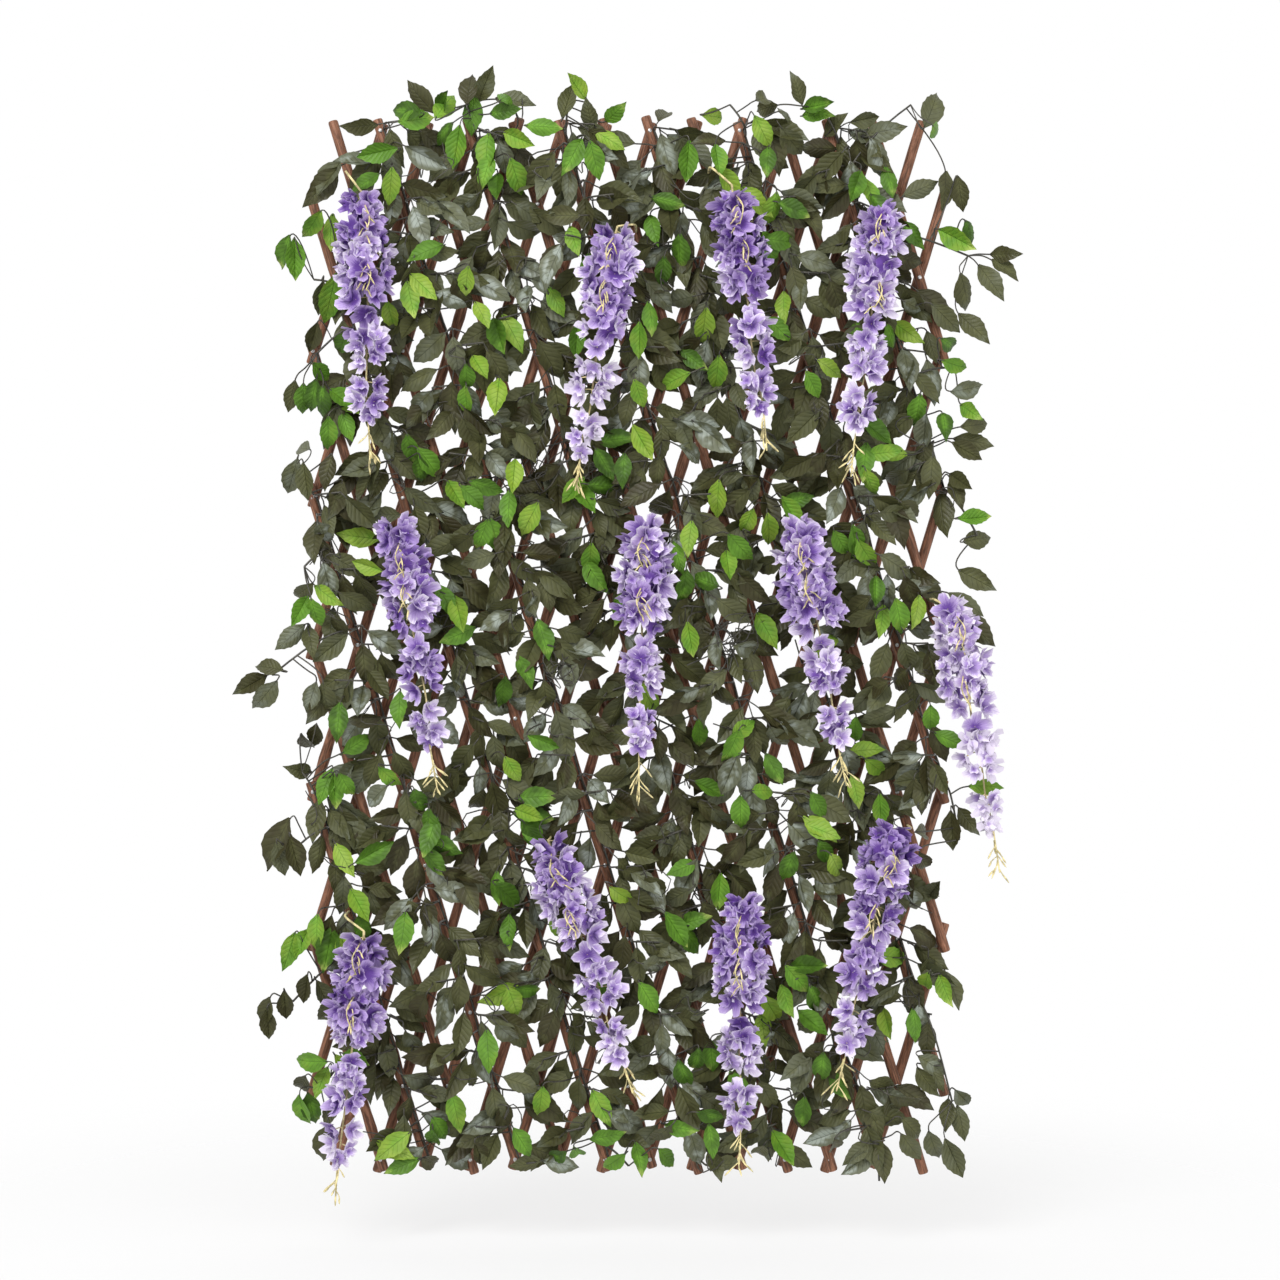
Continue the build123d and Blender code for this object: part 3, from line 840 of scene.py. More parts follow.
def as_seen(x, z, depth):
    """The point this deep in front of the lattice that is seen at this place of it, in millimetres."""
    share = 1 - depth / VIEW_DISTANCE
    across = VIEW_ACROSS + (x * MM - VIEW_ACROSS) * share
    return Vector((across, -depth, VIEW_UP + (z * MM - VIEW_UP) * share))


def span_of(value, first, last, first_result, last_result):
    """A value moved from one range to another, and kept inside it."""
    share = min(1, max(0, (value - first) / (last - first)))
    return first_result + (last_result - first_result) * share


def distance(point, x, z):
    """How far a point lies from a place of the screen."""
    return math.hypot(point.x - x, point.z - z)


def nearest_on(line, point):
    """The point of a line of points that is nearest across the screen, and how far away it is."""
    found = None
    for a, b in zip(line, line[1:]):
        run = Vector((b.x - a.x, b.z - a.z))
        offset = Vector((point.x - a.x, point.z - a.z))
        share = min(1, max(0, offset.dot(run) / max(run.length_squared, 1e-12)))
        spot = a.lerp(b, share)
        away = distance(point, spot.x, spot.z)
        if found is None or away < found[1]:
            found = (spot, away)
    return found


def by_raceme(point, reach):
    """Whether a point lies within this reach of a raceme's stem, across the screen."""
    for i, j, lean, _ in RACEMES:
        top = lattice_place(i, j)
        end = top - heading(lean + 90) * RACEME_LENGTH
        if nearest_on([top, end], point)[1] < reach:
            return True
    return False


# Each leaf of a spray: its share along the stem, its turn, pitch, roll and size
SPRAY_FORMS = (
    (
        (0.10, 74, 8, 10, 0.95), (0.52, 42, -32, -14, 1.02), (1.0, 3, 6, 28, 1.08),
        (0.76, -40, 34, 18, 0.98), (0.22, -76, -8, -32, 0.9),
    ),
    (
        (0.16, 62, -36, 22, 0.92), (0.48, 50, 10, -40, 1.06), (1.0, -8, -30, 14, 1.0),
        (0.82, -52, 18, -10, 1.04), (0.30, -66, 36, 24, 0.88),
    ),
    (
        (0.12, 86, 14, -36, 0.86), (0.60, 34, 40, 12, 1.0), (1.0, 12, -14, -20, 1.1),
        (0.70, -30, -36, 26, 1.02), (0.26, -84, 12, 38, 0.96),
    ),
    (
        (0.20, 58, 42, 6, 1.0), (0.56, 46, -18, 48, 0.94), (1.0, -2, 16, -32, 1.04),
        (0.78, -46, -40, -18, 0.92), (0.14, -70, 16, 14, 1.0),
    ),
)
# The leaves that hang from the vine itself: the turn away from straight down, and the size
WHORL_FORMS = (
    ((-62, 1.0), (-18, 1.08), (34, 0.95), (80, 0.9)),
    ((-84, 0.92), (-36, 1.0), (12, 1.1), (58, 1.0)),
    ((-48, 1.05), (4, 0.95), (66, 1.08)),
)
# How near to a raceme, a listed leaf or a place of painted sheen a dark leaf heeds it
RACEME_REACH = 34 * MM
LISTED_REACH = 30 * MM
PAINTED_SHEEN_REACH = 26 * MM
# How far a dark leaf stays behind a listed one, and how far out leaves and wires may lie
GAPS = {"dark": 9 * MM, "bright": 15 * MM}
LEAST_DEPTH = 19 * MM
MOST_DEPTH = 78 * MM
# The tones that leaves are drawn from; a tone above 0.6 also paints a sheen into a leaf's colour
DARK_TONES = (0.05, 0.15, 0.28, 0.4, 0.5, 0.55, 0.68, 0.84)
BRIGHT_TONES = (0.1, 0.3, 0.45, 0.6, 0.8)


class Garland:
    """One vine along a front stick, and what hangs on it until it is joined up."""

    def __init__(self, number, size, patterns, draw):
        self.number = number
        self.total = GARLAND_SUMS[number]
        self.depth = (NEAR_LEAVES, FAR_LEAVES)[number % 2]
        self.size = size
        self.patterns = patterns
        self.draw = draw
        self.blades = {"dark": [], "bright": []}
        self.twigs = []
        nails = [lattice_place(i, j) for i, j in stick_places(self.total, True) if has_nail(i, j)]
        low, high = nails[0], nails[-1]
        along = (high - low).normalized()
        aside = Vector((VINE_SIDE * along.z, -VINE_DEPTH, -VINE_SIDE * along.x))
        steps = 2 * round((high - low).length / SPRAY_PITCH)
        self.vine = []
        for k in range(steps + 1):
            sway = Vector((draw.uniform(-2, 2), draw.uniform(-1.5, 0.2), 0)) * MM * (0 < k < steps)
            self.vine.append(low.lerp(high, k / steps) + aside + sway)
        self.stems = [(size.vine_radius, self.vine)]
        self.carriers = [self.vine]

    def jitter(self, reach):
        """A small seeded shift, in metres."""
        return Vector([self.draw.uniform(-reach, reach) for _ in range(3)])

    def sprig(self, row, column, tip_row):
        """A long stem that leaves the vine and arches out to an edge."""
        foot = nearest_on(self.vine, lattice_place(self.total - row, row))[0]
        reach = lattice_place(column, tip_row) - foot
        reach.y = 0
        root = Vector((foot.x, -self.depth, foot.z))
        run = reach.normalized() * max(reach.length - self.size.leaf_length, SPRAY_LENGTH)
        rise = Vector((0, 0, run.length * 0.09))
        arch = [root + run * 0.2 + rise * 0.8, root + run * 0.6 + rise, root + run]
        line = [foot, foot.lerp(root, 0.7)] + arch
        self.stems.append((self.size.twig_radius * 1.4, line))
        self.carriers.append(line)

    def leaf(self, foot, base, turn, pitch, roll, scale, tone, kind="dark"):
        """Hangs one leaf, its middle as deep as the base is given, on a twig from its foot."""
        blade = self.size.leaf_length * scale
        base = base + Vector((0, blade * 0.5 * math.sin(math.radians(pitch)), 0))
        lay = leaf_turned(turn, pitch, roll)
        ray = lay @ Vector((0, 1, 0))
        matrix = Matrix.Translation(base) @ lay @ Matrix.Scale(scale, 4)
        pattern = self.patterns[self.draw.randrange(len(self.patterns))]
        self.blades[kind].append(copy_of(pattern, matrix, tone))
        neck = base - ray * PETIOLE
        bend = foot.lerp(neck, 0.55) + self.jitter(0.1 * (neck - foot).length)
        self.twigs.append((self.size.twig_radius, [foot, bend, neck, base + ray * PETIOLE * 0.4]))

    def free_depth(self, middle, shown):
        """How deep a dark leaf may lie, hiding no listed leaf or petal, and whether it lies behind one."""
        depth = self.depth + self.draw.uniform(-9, 9) * MM
        if by_raceme(middle, RACEME_REACH):
            depth = min(depth, self.draw.uniform(28, 46) * MM)
        behind = False
        for x, z, taken in shown:
            if depth > taken and distance(middle, x, z) < LISTED_REACH:
                depth = taken
                behind = True
        return depth, behind

    def filler(self, foot, base, turn, pitch, roll, scale, shown):
        """Hangs a dark leaf that no table lists, and says whether there was room for it."""
        middle = base + heading(turn) * self.size.leaf_length * 0.5
        tip = base + heading(turn) * self.size.leaf_length
        depth, behind = self.free_depth(middle, shown)
        inside = LEFT_EDGE < tip.x < RIGHT_EDGE and LOW_EDGE < tip.z < HIGH_EDGE
        bare = span_of(middle.z, 0.45, 0.0, 0.03, 0.13)
        if depth < LEAST_DEPTH or self.draw.random() < bare or not inside:
            return False
        if behind:
            pitch, roll = pitch * 0.45, roll * 0.6
        tone = self.draw.choice(DARK_TONES) + self.draw.uniform(-0.06, 0.06)
        # Near these places a dark leaf gets a high tone, which paints a silvery sheen into its colour
        if any(distance(middle, x * MM, z * MM) < PAINTED_SHEEN_REACH for x, z in PAINTED_SHEEN_SPOTS):
            tone = self.draw.uniform(0.62, 1.05)
        base = Vector((base.x, -depth, base.z))
        self.leaf(foot, base, turn, pitch, roll, scale * self.draw.uniform(0.92, 1.14), tone)
        return True

    def fill(self, shown):
        """Sprays to both sides of the vine, with whorls of hanging leaves between them."""
        for k, foot in enumerate(self.vine):
            if k % 2:
                self.whorl(foot, shown)
            else:
                self.spray(k // 2, foot, shown)

    def whorl(self, foot, shown):
        """Leaves that hang from one knot of the vine."""
        draw = self.draw
        form = WHORL_FORMS[draw.randrange(len(WHORL_FORMS))]
        knot = foot + Vector((draw.uniform(-12, 12) * MM, (VINE_DEPTH - self.depth) * 0.8, 0))
        hung = False
        for off, scale in form:
            turn = off - 90 + draw.uniform(-14, 14)
            base = knot + heading(turn) * draw.uniform(10, 26) * MM
            pitch, roll = draw.uniform(-45, 45), draw.uniform(-40, 40)
            hung |= self.filler(knot, base, turn, pitch, roll, scale, shown)
        if hung:
            line = [foot, foot.lerp(knot, 0.5) + self.jitter(3 * MM), knot]
            self.stems.append((self.size.twig_radius * 1.2, line))

    def spray(self, order, foot, shown):
        """Leaves along a stem that leaves the vine to the right and to the left by turns."""
        draw = self.draw
        form = SPRAY_FORMS[draw.randrange(len(SPRAY_FORMS))]
        turn = SPRAY_TURNS[(order + self.number) % len(SPRAY_TURNS)]
        turn += 180 + SPRAY_DROOP if order % 2 else -SPRAY_DROOP
        root = Vector((foot.x, -self.depth + draw.uniform(-4, 4) * MM, foot.z))
        run = heading(turn) * SPRAY_LENGTH * draw.uniform(0.9, 1.15)
        bow = foot.lerp(root, 0.6) + self.jitter(3 * MM)
        last = 0
        for share, off, pitch, roll, scale in form:
            knot = root + run * max(share, 0.2)
            leaf_turn = fallen(turn + off, 0.52) + draw.uniform(-16, 16)
            base = knot + heading(leaf_turn) * draw.uniform(7, 14) * MM
            if self.filler(knot, base, leaf_turn, pitch, roll, scale, shown):
                last = max(last, share, 0.25)
        if last:
            self.stems.append((self.size.twig_radius * 1.3, [foot, bow, root + run * 0.2, root + run * last]))

    def tendril(self, start, middle, reach, points):
        """A bare wire that wanders about a middle, within this reach of it."""
        draw = self.draw
        path = [start]
        angle = draw.uniform(0, 360)
        for k in range(points):
            angle += draw.uniform(55, 150) * (1 if k % 3 else -1)
            spot = middle + heading(angle) * reach * draw.uniform(0.45, 1.0)
            spot.x = min(RIGHT_EDGE, max(LEFT_EDGE, spot.x))
            spot.z = min(HIGH_EDGE, max(LOW_EDGE, spot.z))
            spot.y = -min(self.depth + draw.uniform(-8, 16) * MM, MOST_DEPTH)
            path.append(spot)
        self.twigs.append((self.size.twig_radius * draw.uniform(0.7, 1.0), path))

    def finish(self):
        """Joins the garland's leaves and its wires into pieces on its stick's body."""
        body = f"front_stick_{2 * self.number + 2:02d}"
        node = f"garland_{self.number + 1:02d}"
        for label, parts in self.blades.items():
            made = join(parts, f"{node}_leaves_{label}")
            finish_piece(made, "leaf_" + label, body, "leaf_cloth", node)
        made = join([wires(self.stems, 1), wires(self.twigs, 0)], f"{node}_stems")
        finish_piece(made, "vine_wrap", body, "leaf_cloth", node)


# The panel's sizes and colours

def length(name, default, description):
    """A length that a user may change."""
    return FloatProperty(name=name, description=description, default=default, unit="LENGTH")


def colour(name, default, description):
    """A colour that a user may change."""
    return FloatVectorProperty(name=name, description=description, default=default, subtype="COLOR")


class TrellisSizes(bpy.types.PropertyGroup):
    leaf_length: length("Leaf length", 0.057, "Length of a leaf's blade")
    leaf_width: length("Leaf width", 0.0265, "Widest part of a leaf's blade")
    leaf_thickness: length("Leaf thickness", 0.0009, "Thickness at the midrib")
    vine_radius: length("Vine radius", 0.0016, "Radius of a garland's main wire")
    twig_radius: length("Twig radius", 0.0010, "Radius of a leaf's own wire")
    floret_radius: length("Floret radius", 0.0175, "Reach of a floret's petals")
    seed: IntProperty(name="Seed", description="Chooses how leaves and petals vary", default=7)


class TrellisLook(bpy.types.PropertyGroup):
    bark: colour("Bark", (0.295, 0.124, 0.064), "Colour of the willow bark")
    dark_leaf: colour("Dark leaf", (0.084, 0.088, 0.034), "Colour of the old leaves")
    bright_leaf: colour("Bright leaf", (0.120, 0.270, 0.026), "Colour of the young leaves")
    # The colour of the painted sheen on the dark leaves, also mixed into their lightest tone and their tips
    silver_sheen_leaf: colour("Silvery leaf", (0.42, 0.47, 0.42), "Colour of the worn, shining leaves")
    deep_petal: colour("Petal throat", (0.140, 0.055, 0.330), "Colour at the middle of a floret")
    petal: colour("Petal", (0.460, 0.330, 0.660), "Colour over most of a floret")
    pale_petal: colour("Petal rim", (0.86, 0.79, 0.93), "Colour at the rim of a floret")


# How far apart the rings of a stick lie, and how round its ends are
RING_SPACING = 0.02
END_BEVEL = 0.0018
# Each step of a knot: its reach in rings, and how much wider it is
KNOT_STEPS = ((0.55, 1.13), (1.6, 1.03))
# The slow sway of the sticks and their small lumps: the fineness, the direction and the strength
UNEVEN = (("stick_sway", 0.11, "X", 0.006), ("stick_lumps", 0.016, "NORMAL", 0.0011))


class TRELLIS_OT_sticks(bpy.types.Operator):
    """Adds the front and rear willow sticks"""

    bl_idname = "trellis.sticks"
    bl_label = "Willow sticks"

    def execute(self, context):
        textures = []
        for label, scale, _, _ in UNEVEN:
            textures.append(bpy.data.textures.new(label, "CLOUDS"))
            textures[-1].noise_scale = scale
        layers = (("front", FRONT_SUMS, -LAYER_DEPTH), ("rear", REAR_DIFFERENCES, LAYER_DEPTH))
        for layer, lines, depth in layers:
            for number, line in enumerate(lines):
                places = [lattice_place(i, j) for i, j in stick_places(line, layer == "front")]
                along = (places[-1] - places[0]).normalized()
                shares = [OVERHANG_SHARES[k % len(OVERHANG_SHARES)] for k in (number, 2 * number + 1)]
                below, above = [along * OVERHANG * share for share in shares]
                low = places[0] - below + Vector((0, depth, 0))
                high = places[-1] + above + Vector((0, depth, 0))
                name = f"{layer}_stick_{number + 1:02d}"
                stick = self.stick(low, high, along, places, number, textures)
                finish_piece(settle(stick, name + "_willow"), "willow_" + layer, name, "willow", name)
        return {"FINISHED"}

    def stick(self, low, high, along, places, number, textures):
        """One crooked willow stick with knots between its nails."""
        size = (high - low).length
        cuts = max(8, round(size / RING_SPACING))
        ring = size / (cuts + 1)
        alone()
        bpy.ops.mesh.primitive_cylinder_add(
            vertices=12, radius=STICK_RADIUS, depth=size, end_fill_type="NGON"
        )
        stick = bpy.context.object
        bpy.ops.object.mode_set(mode="EDIT")
        bpy.ops.mesh.select_mode(type="EDGE")
        mesh = bmesh.from_edit_mesh(stick.data)
        for face in mesh.faces:
            face.select = False
        for edge in mesh.edges:
            edge.select = edge.calc_length() > size / 2
        bmesh.update_edit_mesh(stick.data)
        bpy.ops.mesh.subdivide(number_cuts=cuts)
        bpy.ops.mesh.select_mode(type="VERT")
        for k in range(number % 3, len(places) - 1, 3):
            middle = places[k].lerp(places[k + 1], 0.46)
            z = (middle - (low + high) / 2).dot(along)
            for reach, swell in KNOT_STEPS:
                pick(lambda co: abs(co.z - z) < ring * reach)
                resize(swell, swell, 1, (0, 0, z))
        pick(lambda co: abs(co.z) > size / 2 - ring * 0.1)
        resize(0.86, 0.86, 1)
        pick(lambda co: size / 2 - ring * 1.1 < abs(co.z) < size / 2 - ring * 0.9)
        resize(1, 1, (size / 2 - END_BEVEL) / (size / 2 - ring))
        bpy.ops.object.mode_set(mode="OBJECT")
        stick.rotation_mode = "QUATERNION"
        stick.rotation_quaternion = along.to_track_quat("Z", "Y")
        stick.location = (low + high) / 2
        bpy.context.view_layer.update()
        for texture, (_, _, direction, strength) in zip(textures, UNEVEN):
            change = stick.modifiers.new("Crooked", "DISPLACE")
            change.texture = texture
            change.texture_coords = "GLOBAL"
            change.direction = direction
            change.strength = strength
            bpy.ops.object.modifier_apply(modifier=change.name)
        smooth(55)
        return stick


NAIL_HEAD_RADIUS = 0.0026
NAIL_HEAD_THICKNESS = 0.0005
# Each step by which a nail is drawn out along Y, and how much wider its new end is: the dome in
# front, and the shank with its clinched tail behind
NAIL_DOME = ((-0.0003, 0.82), (-0.0002, 0.55))
NAIL_SHANK = ((0, 0.46), (2 * FACE_DEPTH - 0.00035, 1), (0, 1.6), (0.0006, 0.8))


class TRELLIS_OT_nails(bpy.types.Operator):
    """Adds a domed nail at every crossing, held by its front stick"""

    bl_idname = "trellis.nails"
    bl_label = "Nails"

    def execute(self, context):
        pattern = self.nail()
        for number, line in enumerate(FRONT_SUMS):
            nails = []
            for place in stick_places(line, True):
                if has_nail(*place) and place != (COLUMNS, ROWS):
                    nails.append(copy_of(pattern, Matrix.Translation(lattice_place(*place))))
            made = join(nails, f"nails_{number + 1:02d}")
            finish_piece(made, "nail_bright", f"front_stick_{number + 1:02d}", "nail_steel")
        pattern.name = "centre_nail_steel"
        finish_piece(pattern, "nail_bright", "centre_nail", "nail_steel", "centre_nail")
        return {"FINISHED"}

    def nail(self):
        """A nail along Y: domed head in front, shank, and a clinched tail behind."""
        alone()
        bpy.ops.mesh.primitive_cylinder_add(
            vertices=12, radius=NAIL_HEAD_RADIUS, depth=NAIL_HEAD_THICKNESS, end_fill_type="NGON"
        )
        nail = bpy.context.object
        nail.rotation_euler = (math.radians(90), 0, 0)
        nail.location = (0, -FACE_DEPTH + NAIL_HEAD_THICKNESS / 2, 0)
        settle(nail, "nail")
        edit_points()
        pick(lambda co: co.y < -FACE_DEPTH + NAIL_HEAD_THICKNESS * 0.2)
        for reach, scale in NAIL_DOME:
            self.draw_out(reach, scale)
        pick(lambda co: co.y > -FACE_DEPTH + NAIL_HEAD_THICKNESS * 0.8)
        for reach, scale in NAIL_SHANK:
            self.draw_out(reach, scale)
        bpy.ops.mesh.select_all(action="SELECT")
        bpy.ops.mesh.normals_make_consistent(inside=False)
        smooth(40)
        return nail

    def draw_out(self, reach, scale):
        """Extrudes the picked end along Y, and makes its new end this much wider or narrower."""
        bpy.ops.mesh.extrude_region_move(TRANSFORM_OT_translate={"value": (0, reach, 0)})
        resize(scale, 1, scale)


class TRELLIS_OT_garlands(bpy.types.Operator):
    """Adds the vines and their sprays of leaves, one garland for every second front stick"""

    bl_idname = "trellis.garlands"
    bl_label = "Leaf garlands"

    def execute(self, context):
        size = context.scene.trellis_sizes
        draw = random.Random(size.seed)
        patterns = [
            leaf_pattern("leaf_flat", size, 0.12, 0.12, 0.02),
            leaf_pattern("leaf_drooping", size, 0.20, 0.28, 0.03),
            leaf_pattern("leaf_lifted", size, 0.34, -0.10, 0.02),
            leaf_pattern("leaf_curled", size, 0.16, 0.20, 0.08),
            leaf_pattern("leaf_arched", size, -0.22, 0.34, 0.03),
        ]
        garlands = [Garland(number, size, patterns, draw) for number in range(len(GARLAND_SUMS))]
        for total, row, column, tip_row in SPRIGS:
            garlands[GARLAND_SUMS.index(total)].sprig(row, column, tip_row)
        shown = []
        for kind, rows in (("dark", DARK_EDGE), ("bright", BRIGHT_EDGE)):
            for row in rows:
                shown.append(self.listed(garlands, row[:2], row[2:], kind, size, draw))
        for x, z, turn in BRIGHT_INNER:
            half = heading(turn) * draw.uniform(21, 29)
            ends = (x - half.x, z - half.z), (x + half.x, z + half.z)
            shown.append(self.listed(garlands, *ends, "bright", size, draw))
        for garland in garlands:
            garland.fill(shown)
            for start in garland.vine[1:-1:3]:
                garland.tendril(start, start + garland.jitter(0.045), draw.uniform(22, 42) * MM, 5)
        for x, z, reach in TANGLES:
            middle = Vector((x, 0, z)) * MM
            garland = min(garlands, key=lambda g: nearest_on(g.vine, middle)[1])
            for _ in range(6):
                start = nearest_on(garland.vine, middle + garland.jitter(reach * MM * 2))[0]
                garland.tendril(start, middle + garland.jitter(reach * MM * 0.6), reach * MM, 6)
        for garland in garlands:
            garland.finish()
        for pattern in patterns:
            bpy.data.objects.remove(pattern)
        return {"FINISHED"}

    def listed(self, garlands, base, tip, kind, size, draw):
        """Hangs a leaf of the tables on the nearest vine or sprig, and says how deep its place is taken."""
        rough = Vector((base[0], 0, base[1])) * MM
        _, order, n = min(
            (nearest_on(line, rough)[1], garland.number, n)
            for garland in garlands
            for n, line in enumerate(garland.carriers)
        )
        garland = garlands[order]
        foot = nearest_on(garland.carriers[n], rough)[0]
        depth = garland.depth + BRIGHT_LIFT * (kind == "bright") + draw.uniform(-4, 6) * MM
        low, high = as_seen(*base, depth), as_seen(*tip, depth)
        run = high - low
        scale = min(1.45, max(0.85, run.length / (size.leaf_length * 0.94)))
        pitch = math.degrees(math.acos(min(1, run.length / (size.leaf_length * scale))))
        pitch *= draw.choice((-1, 1))
        turn = math.degrees(math.atan2(run.z, run.x))
        if kind == "dark":
            tone = draw.uniform(0.1, 0.74)
        else:
            tone = draw.choice(BRIGHT_TONES) + draw.uniform(-0.08, 0.08)
        garland.leaf(foot, low, turn, pitch, draw.uniform(-28, 28), scale, tone, kind)
        middle = low.lerp(high, 0.5)
        return middle.x, middle.z, depth - GAPS[kind]


# The radii of a raceme's wires
HOOK_RADIUS = 0.0015
RACHIS_RADIUS = 0.0014
STALK_RADIUS = 0.0008
TWIST_RADIUS = 0.0009
STRING_RADIUS = 0.0007
# How far the florets of a full whorl stand off, and which raceme, counted from 0, is the palest
WHORL_REACH = 23 * MM
FADED_RACEME = 7
# A bare twist in front of the florets: each point's place across, forwards and down its raceme
TWIST = ((0, 0, 0), (0.003, 0.026, 0.03), (0.012, 0.033, 0.09), (0.002, 0.026, 0.15))


class TRELLIS_OT_racemes(bpy.types.Operator):
    """Adds the hanging wisteria racemes"""

    bl_idname = "trellis.racemes"
    bl_label = "Wisteria racemes"

    def execute(self, context):
        size = context.scene.trellis_sizes
        draw = random.Random(size.seed + 1)
        florets = [
            floret_pattern("floret_open", size.floret_radius, 0.15, 0.20, 1),
            floret_pattern("floret_cupped", size.floret_radius, 0.48, 0.26, 2),
            floret_pattern("floret_ruffled", size.floret_radius, 0.32, 0.36, 3),
            floret_pattern("floret_folded", size.floret_radius, -0.12, 0.30, 4),
        ]
        for number, place in enumerate(RACEMES):
            self.raceme(number, place, draw, florets)
        for pattern in florets:
            bpy.data.objects.remove(pattern)
        return {"FINISHED"}

    def raceme(self, number, place, draw, florets):
        """One raceme with its hook, florets, bare twists and stringy tail."""
        i, j, lean, peg_row = place
        total = min(FRONT_SUMS, key=lambda line: abs(line - i - peg_row))
        peg = lattice_place(total - peg_row, peg_row)
        top = lattice_place(i, j) + Vector((0, -RACEME_DEPTH, 0))
        down = Vector((math.sin(math.radians(lean)), 0, -math.cos(math.radians(lean))))
        out = Vector((peg.x, top.y, peg.z))
        foot = peg + Vector((0, -FACE_DEPTH + 5 * MM, 0))
        stems = [(HOOK_RADIUS, [foot, peg.lerp(out, 0.5), out, out.lerp(top, 0.6), top])]
        self.tail(top, down, draw, stems)
        hung = Matrix.Translation(top) @ Matrix.Rotation(math.radians(-lean), 4, "Y")
        droop = draw.uniform(-0.03, 0.03)
        paleness = 0.60 if number == FADED_RACEME else draw.uniform(0.12, 0.36)
        petals = []
        for share, reach_share, count in WHORLS:
            share = min(0.98, max(0.01, share + droop))
            for k in range(count):
                azimuth = -92 + 184 * (k + 0.5) / count + draw.uniform(-18, 18)
                reach = WHORL_REACH * reach_share * draw.uniform(0.80, 1.15)
                turn = math.radians(azimuth - 90)
                outward = Vector((math.cos(turn), math.sin(turn), 0))
                centre = Vector((0, 0, -RACEME_LENGTH * share + draw.uniform(-5, 5) * MM)) + outward * reach
                centre.y *= 0.70
                facing = (outward + Vector((0, 0, draw.uniform(-0.7, 0.15)))).normalized()
                scale = span_of(share, 0.45, 1.0, 1.04, 0.86) * draw.uniform(0.8, 1.18)
                lay = Matrix.Translation(centre) @ facing.to_track_quat("Z", "Y").to_matrix().to_4x4()
                lay = lay @ Matrix.Rotation(draw.uniform(0, 6.28), 4, "Z") @ Matrix.Scale(scale, 4)
                tone = paleness + 0.40 * share + draw.uniform(-0.28, 0.28)
                petals.append(copy_of(florets[draw.randrange(len(florets))], hung @ lay, tone))
                root, end = hung @ Vector((0, 0, centre.z + 4 * MM)), hung @ centre
                stems.append((STALK_RADIUS, [root, root.lerp(end, 0.6) + Vector((0, 0, 2 * MM)), end]))
        for start in (draw.uniform(0, 0.06), draw.uniform(0.2, 0.3)):
            self.twist(start, hung, draw, stems)
        name = f"raceme_{number + 1:02d}"
        made = join(petals, name + "_petals")
        finish_piece(made, "petal_silk", name, "petal_cloth", name)
        made = settle(wires(stems, 1), name + "_stem")
        finish_piece(made, "cream_stem", name, "petal_cloth", name)

    def tail(self, top, down, draw, stems):
        """The wire that all florets hang on, and the strings that fan out at its end."""
        spine = [top]
        for tenth in range(1, 11):
            sway = Vector((draw.uniform(-3, 3), draw.uniform(-2, 2), 0)) * MM
            spine.append(top + down * RACEME_LENGTH * (tenth / 10) + sway)
        spine.append(top + down * (RACEME_LENGTH + TAIL_LENGTH))
        tapered = [(*point, 1.2 - 0.5 * k / len(spine)) for k, point in enumerate(spine)]
        stems.append((RACHIS_RADIUS, tapered))
        for tenth in range(9):
            start = top + down * (RACEME_LENGTH + TAIL_LENGTH * (0.1 * tenth))
            hang = down * draw.uniform(10, 20) * MM
            hang = hang + Vector((draw.uniform(-15, 15), draw.uniform(-6, 6), 0)) * MM
            bow = start + hang * 0.5 + Vector((draw.uniform(-3, 3), 0, 0)) * MM
            string = [(*start, 1), (*bow, 0.8), (*(start + hang), 2.3), (*(start + hang * 1.25), 0.5)]
            stems.append((STRING_RADIUS, string))

    def twist(self, start, hung, draw, stems):
        """A bare twist with five buds, this share of the way down its raceme."""
        side = draw.choice((-1, 1))
        line = [Vector((side * x, -y, -RACEME_LENGTH * (start + share))) for x, y, share in TWIST]
        stems.append((TWIST_RADIUS, [hung @ point for point in line]))
        for k in range(5):
            root = line[1].lerp(line[3], 0.15 + 0.2 * k)
            bud = root + Vector((draw.uniform(-11, 11), draw.uniform(-4, 2), draw.uniform(-14, -5))) * MM
            bend = root.lerp(bud, 0.5) + Vector((0, 0, 3 * MM))
            point = hung @ bud.lerp(root, -0.3)
            stems.append((STRING_RADIUS, [hung @ root, hung @ bend, (*(hung @ bud), 1.9), (*point, 0.4)]))


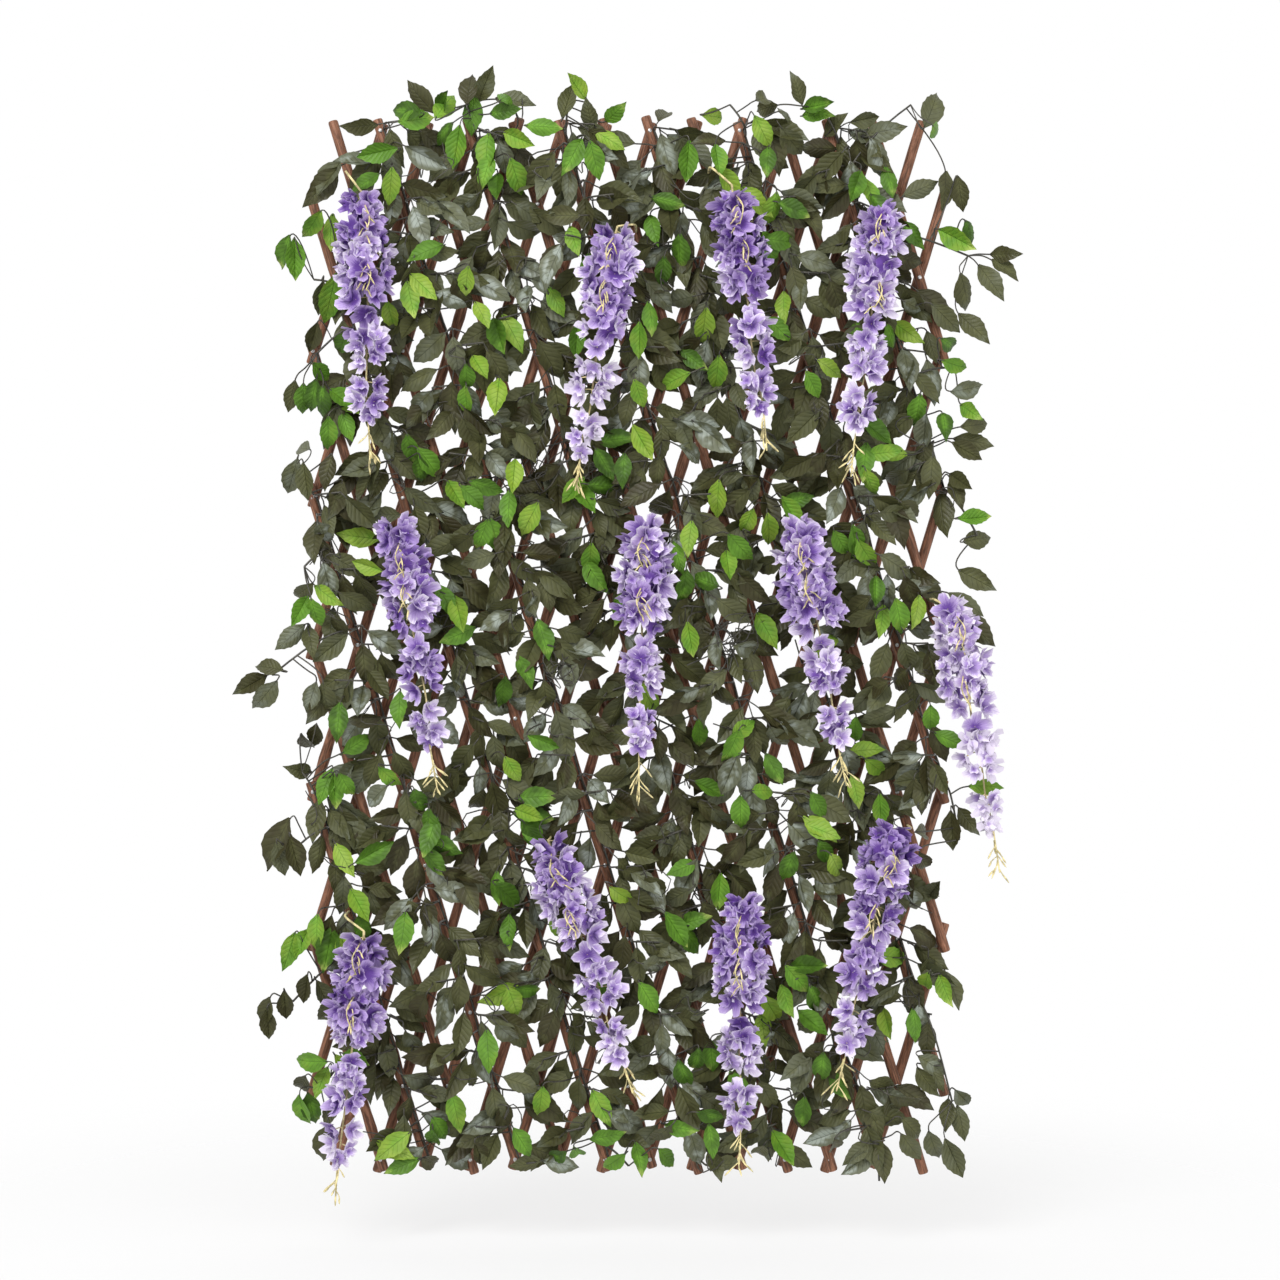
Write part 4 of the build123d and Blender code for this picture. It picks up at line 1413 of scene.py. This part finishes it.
class TRELLIS_OT_stage(bpy.types.Operator):
    """Adds the pale floor, the lights and the camera"""

    bl_idname = "trellis.stage"
    bl_label = "Stage"

    def execute(self, context):
        self.floor()
        self.world()
        for name, place, turn, width, power in (
            ("key", (-1.5, -3.2, 2.4), (55, 0, -24), 2.2, 112),
            ("fill", (2.4, -3.0, 0.6), (82, 0, 38), 2.6, 44),
            ("back", (0.6, 2.2, 2.2), (-45, 0, 170), 2.4, 40),
        ):
            bpy.ops.object.light_add(type="AREA", location=place, rotation=[math.radians(a) for a in turn])
            lamp = context.object
            lamp.name = name
            lamp.data.size = width
            lamp.data.energy = power
        stand = (VIEW_ACROSS, -VIEW_DISTANCE, VIEW_UP)
        bpy.ops.object.camera_add(location=stand, rotation=(math.radians(90), 0, 0))
        camera = context.object
        camera.name = "camera"
        camera.data.sensor_width = 36
        camera.data.lens = 36 * VIEW_DISTANCE / VIEW_WIDTH
        camera.data.clip_end = 60
        context.scene.camera = camera
        context.scene.view_settings.view_transform = "Standard"
        return {"FINISHED"}

    def floor(self):
        """A pale floor that keeps the trellis's shadow and fades out all round."""
        alone()
        bpy.ops.mesh.primitive_plane_add(size=1, location=(0, 0.4, CAD_BOX[0].z - 0.03))
        floor = bpy.context.object
        floor.name = "floor"
        floor.scale = (9, 7, 1)
        bpy.ops.object.transform_apply(location=True, rotation=False, scale=True)
        tree, shader = new_material("floor_pale")
        place = object_place(tree)
        shade = blend_colour(tree, noise(tree, place, 3), (0.90, 0.90, 0.90, 1), (0.93, 0.93, 0.93, 1))
        feed(tree, shader.inputs["Base Color"], shade)
        shader.inputs["Roughness"].default_value = 0.8
        white = tree.nodes.new("ShaderNodeEmission")
        rays = tree.nodes.new("ShaderNodeLightPath")
        clear = tree.nodes.new("ShaderNodeBsdfTransparent")
        across, deep = parts_of(tree, place)[:2]
        away = calc(tree, "SQRT", plus(tree, times(tree, across, across), times(tree, deep, deep)))
        shown = shader
        for share, other in (
            (times(tree, rays.outputs["Is Camera Ray"], 0.65), white), (span(tree, away, 0.5, 1.5), clear),
        ):
            mix = tree.nodes.new("ShaderNodeMixShader")
            for socket, value in zip(mix.inputs, (share, shown.outputs[0], other.outputs[0])):
                feed(tree, socket, value)
            shown = mix
        feed(tree, tree.nodes["Material Output"].inputs["Surface"], shown.outputs[0])
        floor.data.materials.append(bpy.data.materials["floor_pale"])

    def world(self):
        """White where the camera, glass or metal sees it, and a softer light on the object."""
        world = bpy.data.worlds.new("studio")
        world.use_nodes = True
        bpy.context.scene.world = world
        tree = world.node_tree
        sky = tree.nodes["Background"]
        rays = tree.nodes.new("ShaderNodeLightPath")
        seen = calc(tree, "MAXIMUM", rays.outputs["Is Camera Ray"], rays.outputs["Is Transmission Ray"])
        seen = calc(tree, "MAXIMUM", seen, rays.outputs["Is Glossy Ray"])
        sky.inputs["Color"].default_value = WHITE
        feed(tree, sky.inputs["Strength"], span(tree, seen, 0, 1, 0.64, 1.0))


class TRELLIS_PT_panel(bpy.types.Panel):
    bl_label = "Hedge trellis"
    bl_idname = "TRELLIS_PT_panel"
    bl_space_type = "VIEW_3D"
    bl_region_type = "UI"
    bl_category = "Trellis"

    def draw(self, context):
        layout = self.layout
        for group in (context.scene.trellis_sizes, context.scene.trellis_look):
            for label in group.__annotations__:
                layout.prop(group, label)
        for name in OPERATORS:
            layout.operator(name)


OPERATORS = ("trellis.sticks", "trellis.nails", "trellis.garlands", "trellis.racemes", "trellis.stage")
CLASSES = (
    TrellisSizes,
    TrellisLook,
    TRELLIS_OT_sticks,
    TRELLIS_OT_nails,
    TRELLIS_OT_garlands,
    TRELLIS_OT_racemes,
    TRELLIS_OT_stage,
    TRELLIS_PT_panel,
)


def register():
    for made in CLASSES:
        bpy.utils.register_class(made)
    bpy.types.Scene.trellis_sizes = PointerProperty(type=TrellisSizes)
    bpy.types.Scene.trellis_look = PointerProperty(type=TrellisLook)


def unregister():
    del bpy.types.Scene.trellis_look
    del bpy.types.Scene.trellis_sizes
    for made in reversed(CLASSES):
        bpy.utils.unregister_class(made)


def main():
    """Registers the panel and builds the trellis and its stage."""
    register()
    bpy.ops.trellis.sticks()
    bpy.ops.trellis.nails()
    bpy.ops.trellis.garlands()
    bpy.ops.trellis.racemes()
    bpy.ops.trellis.stage()


if __name__ == "__main__":
    main()
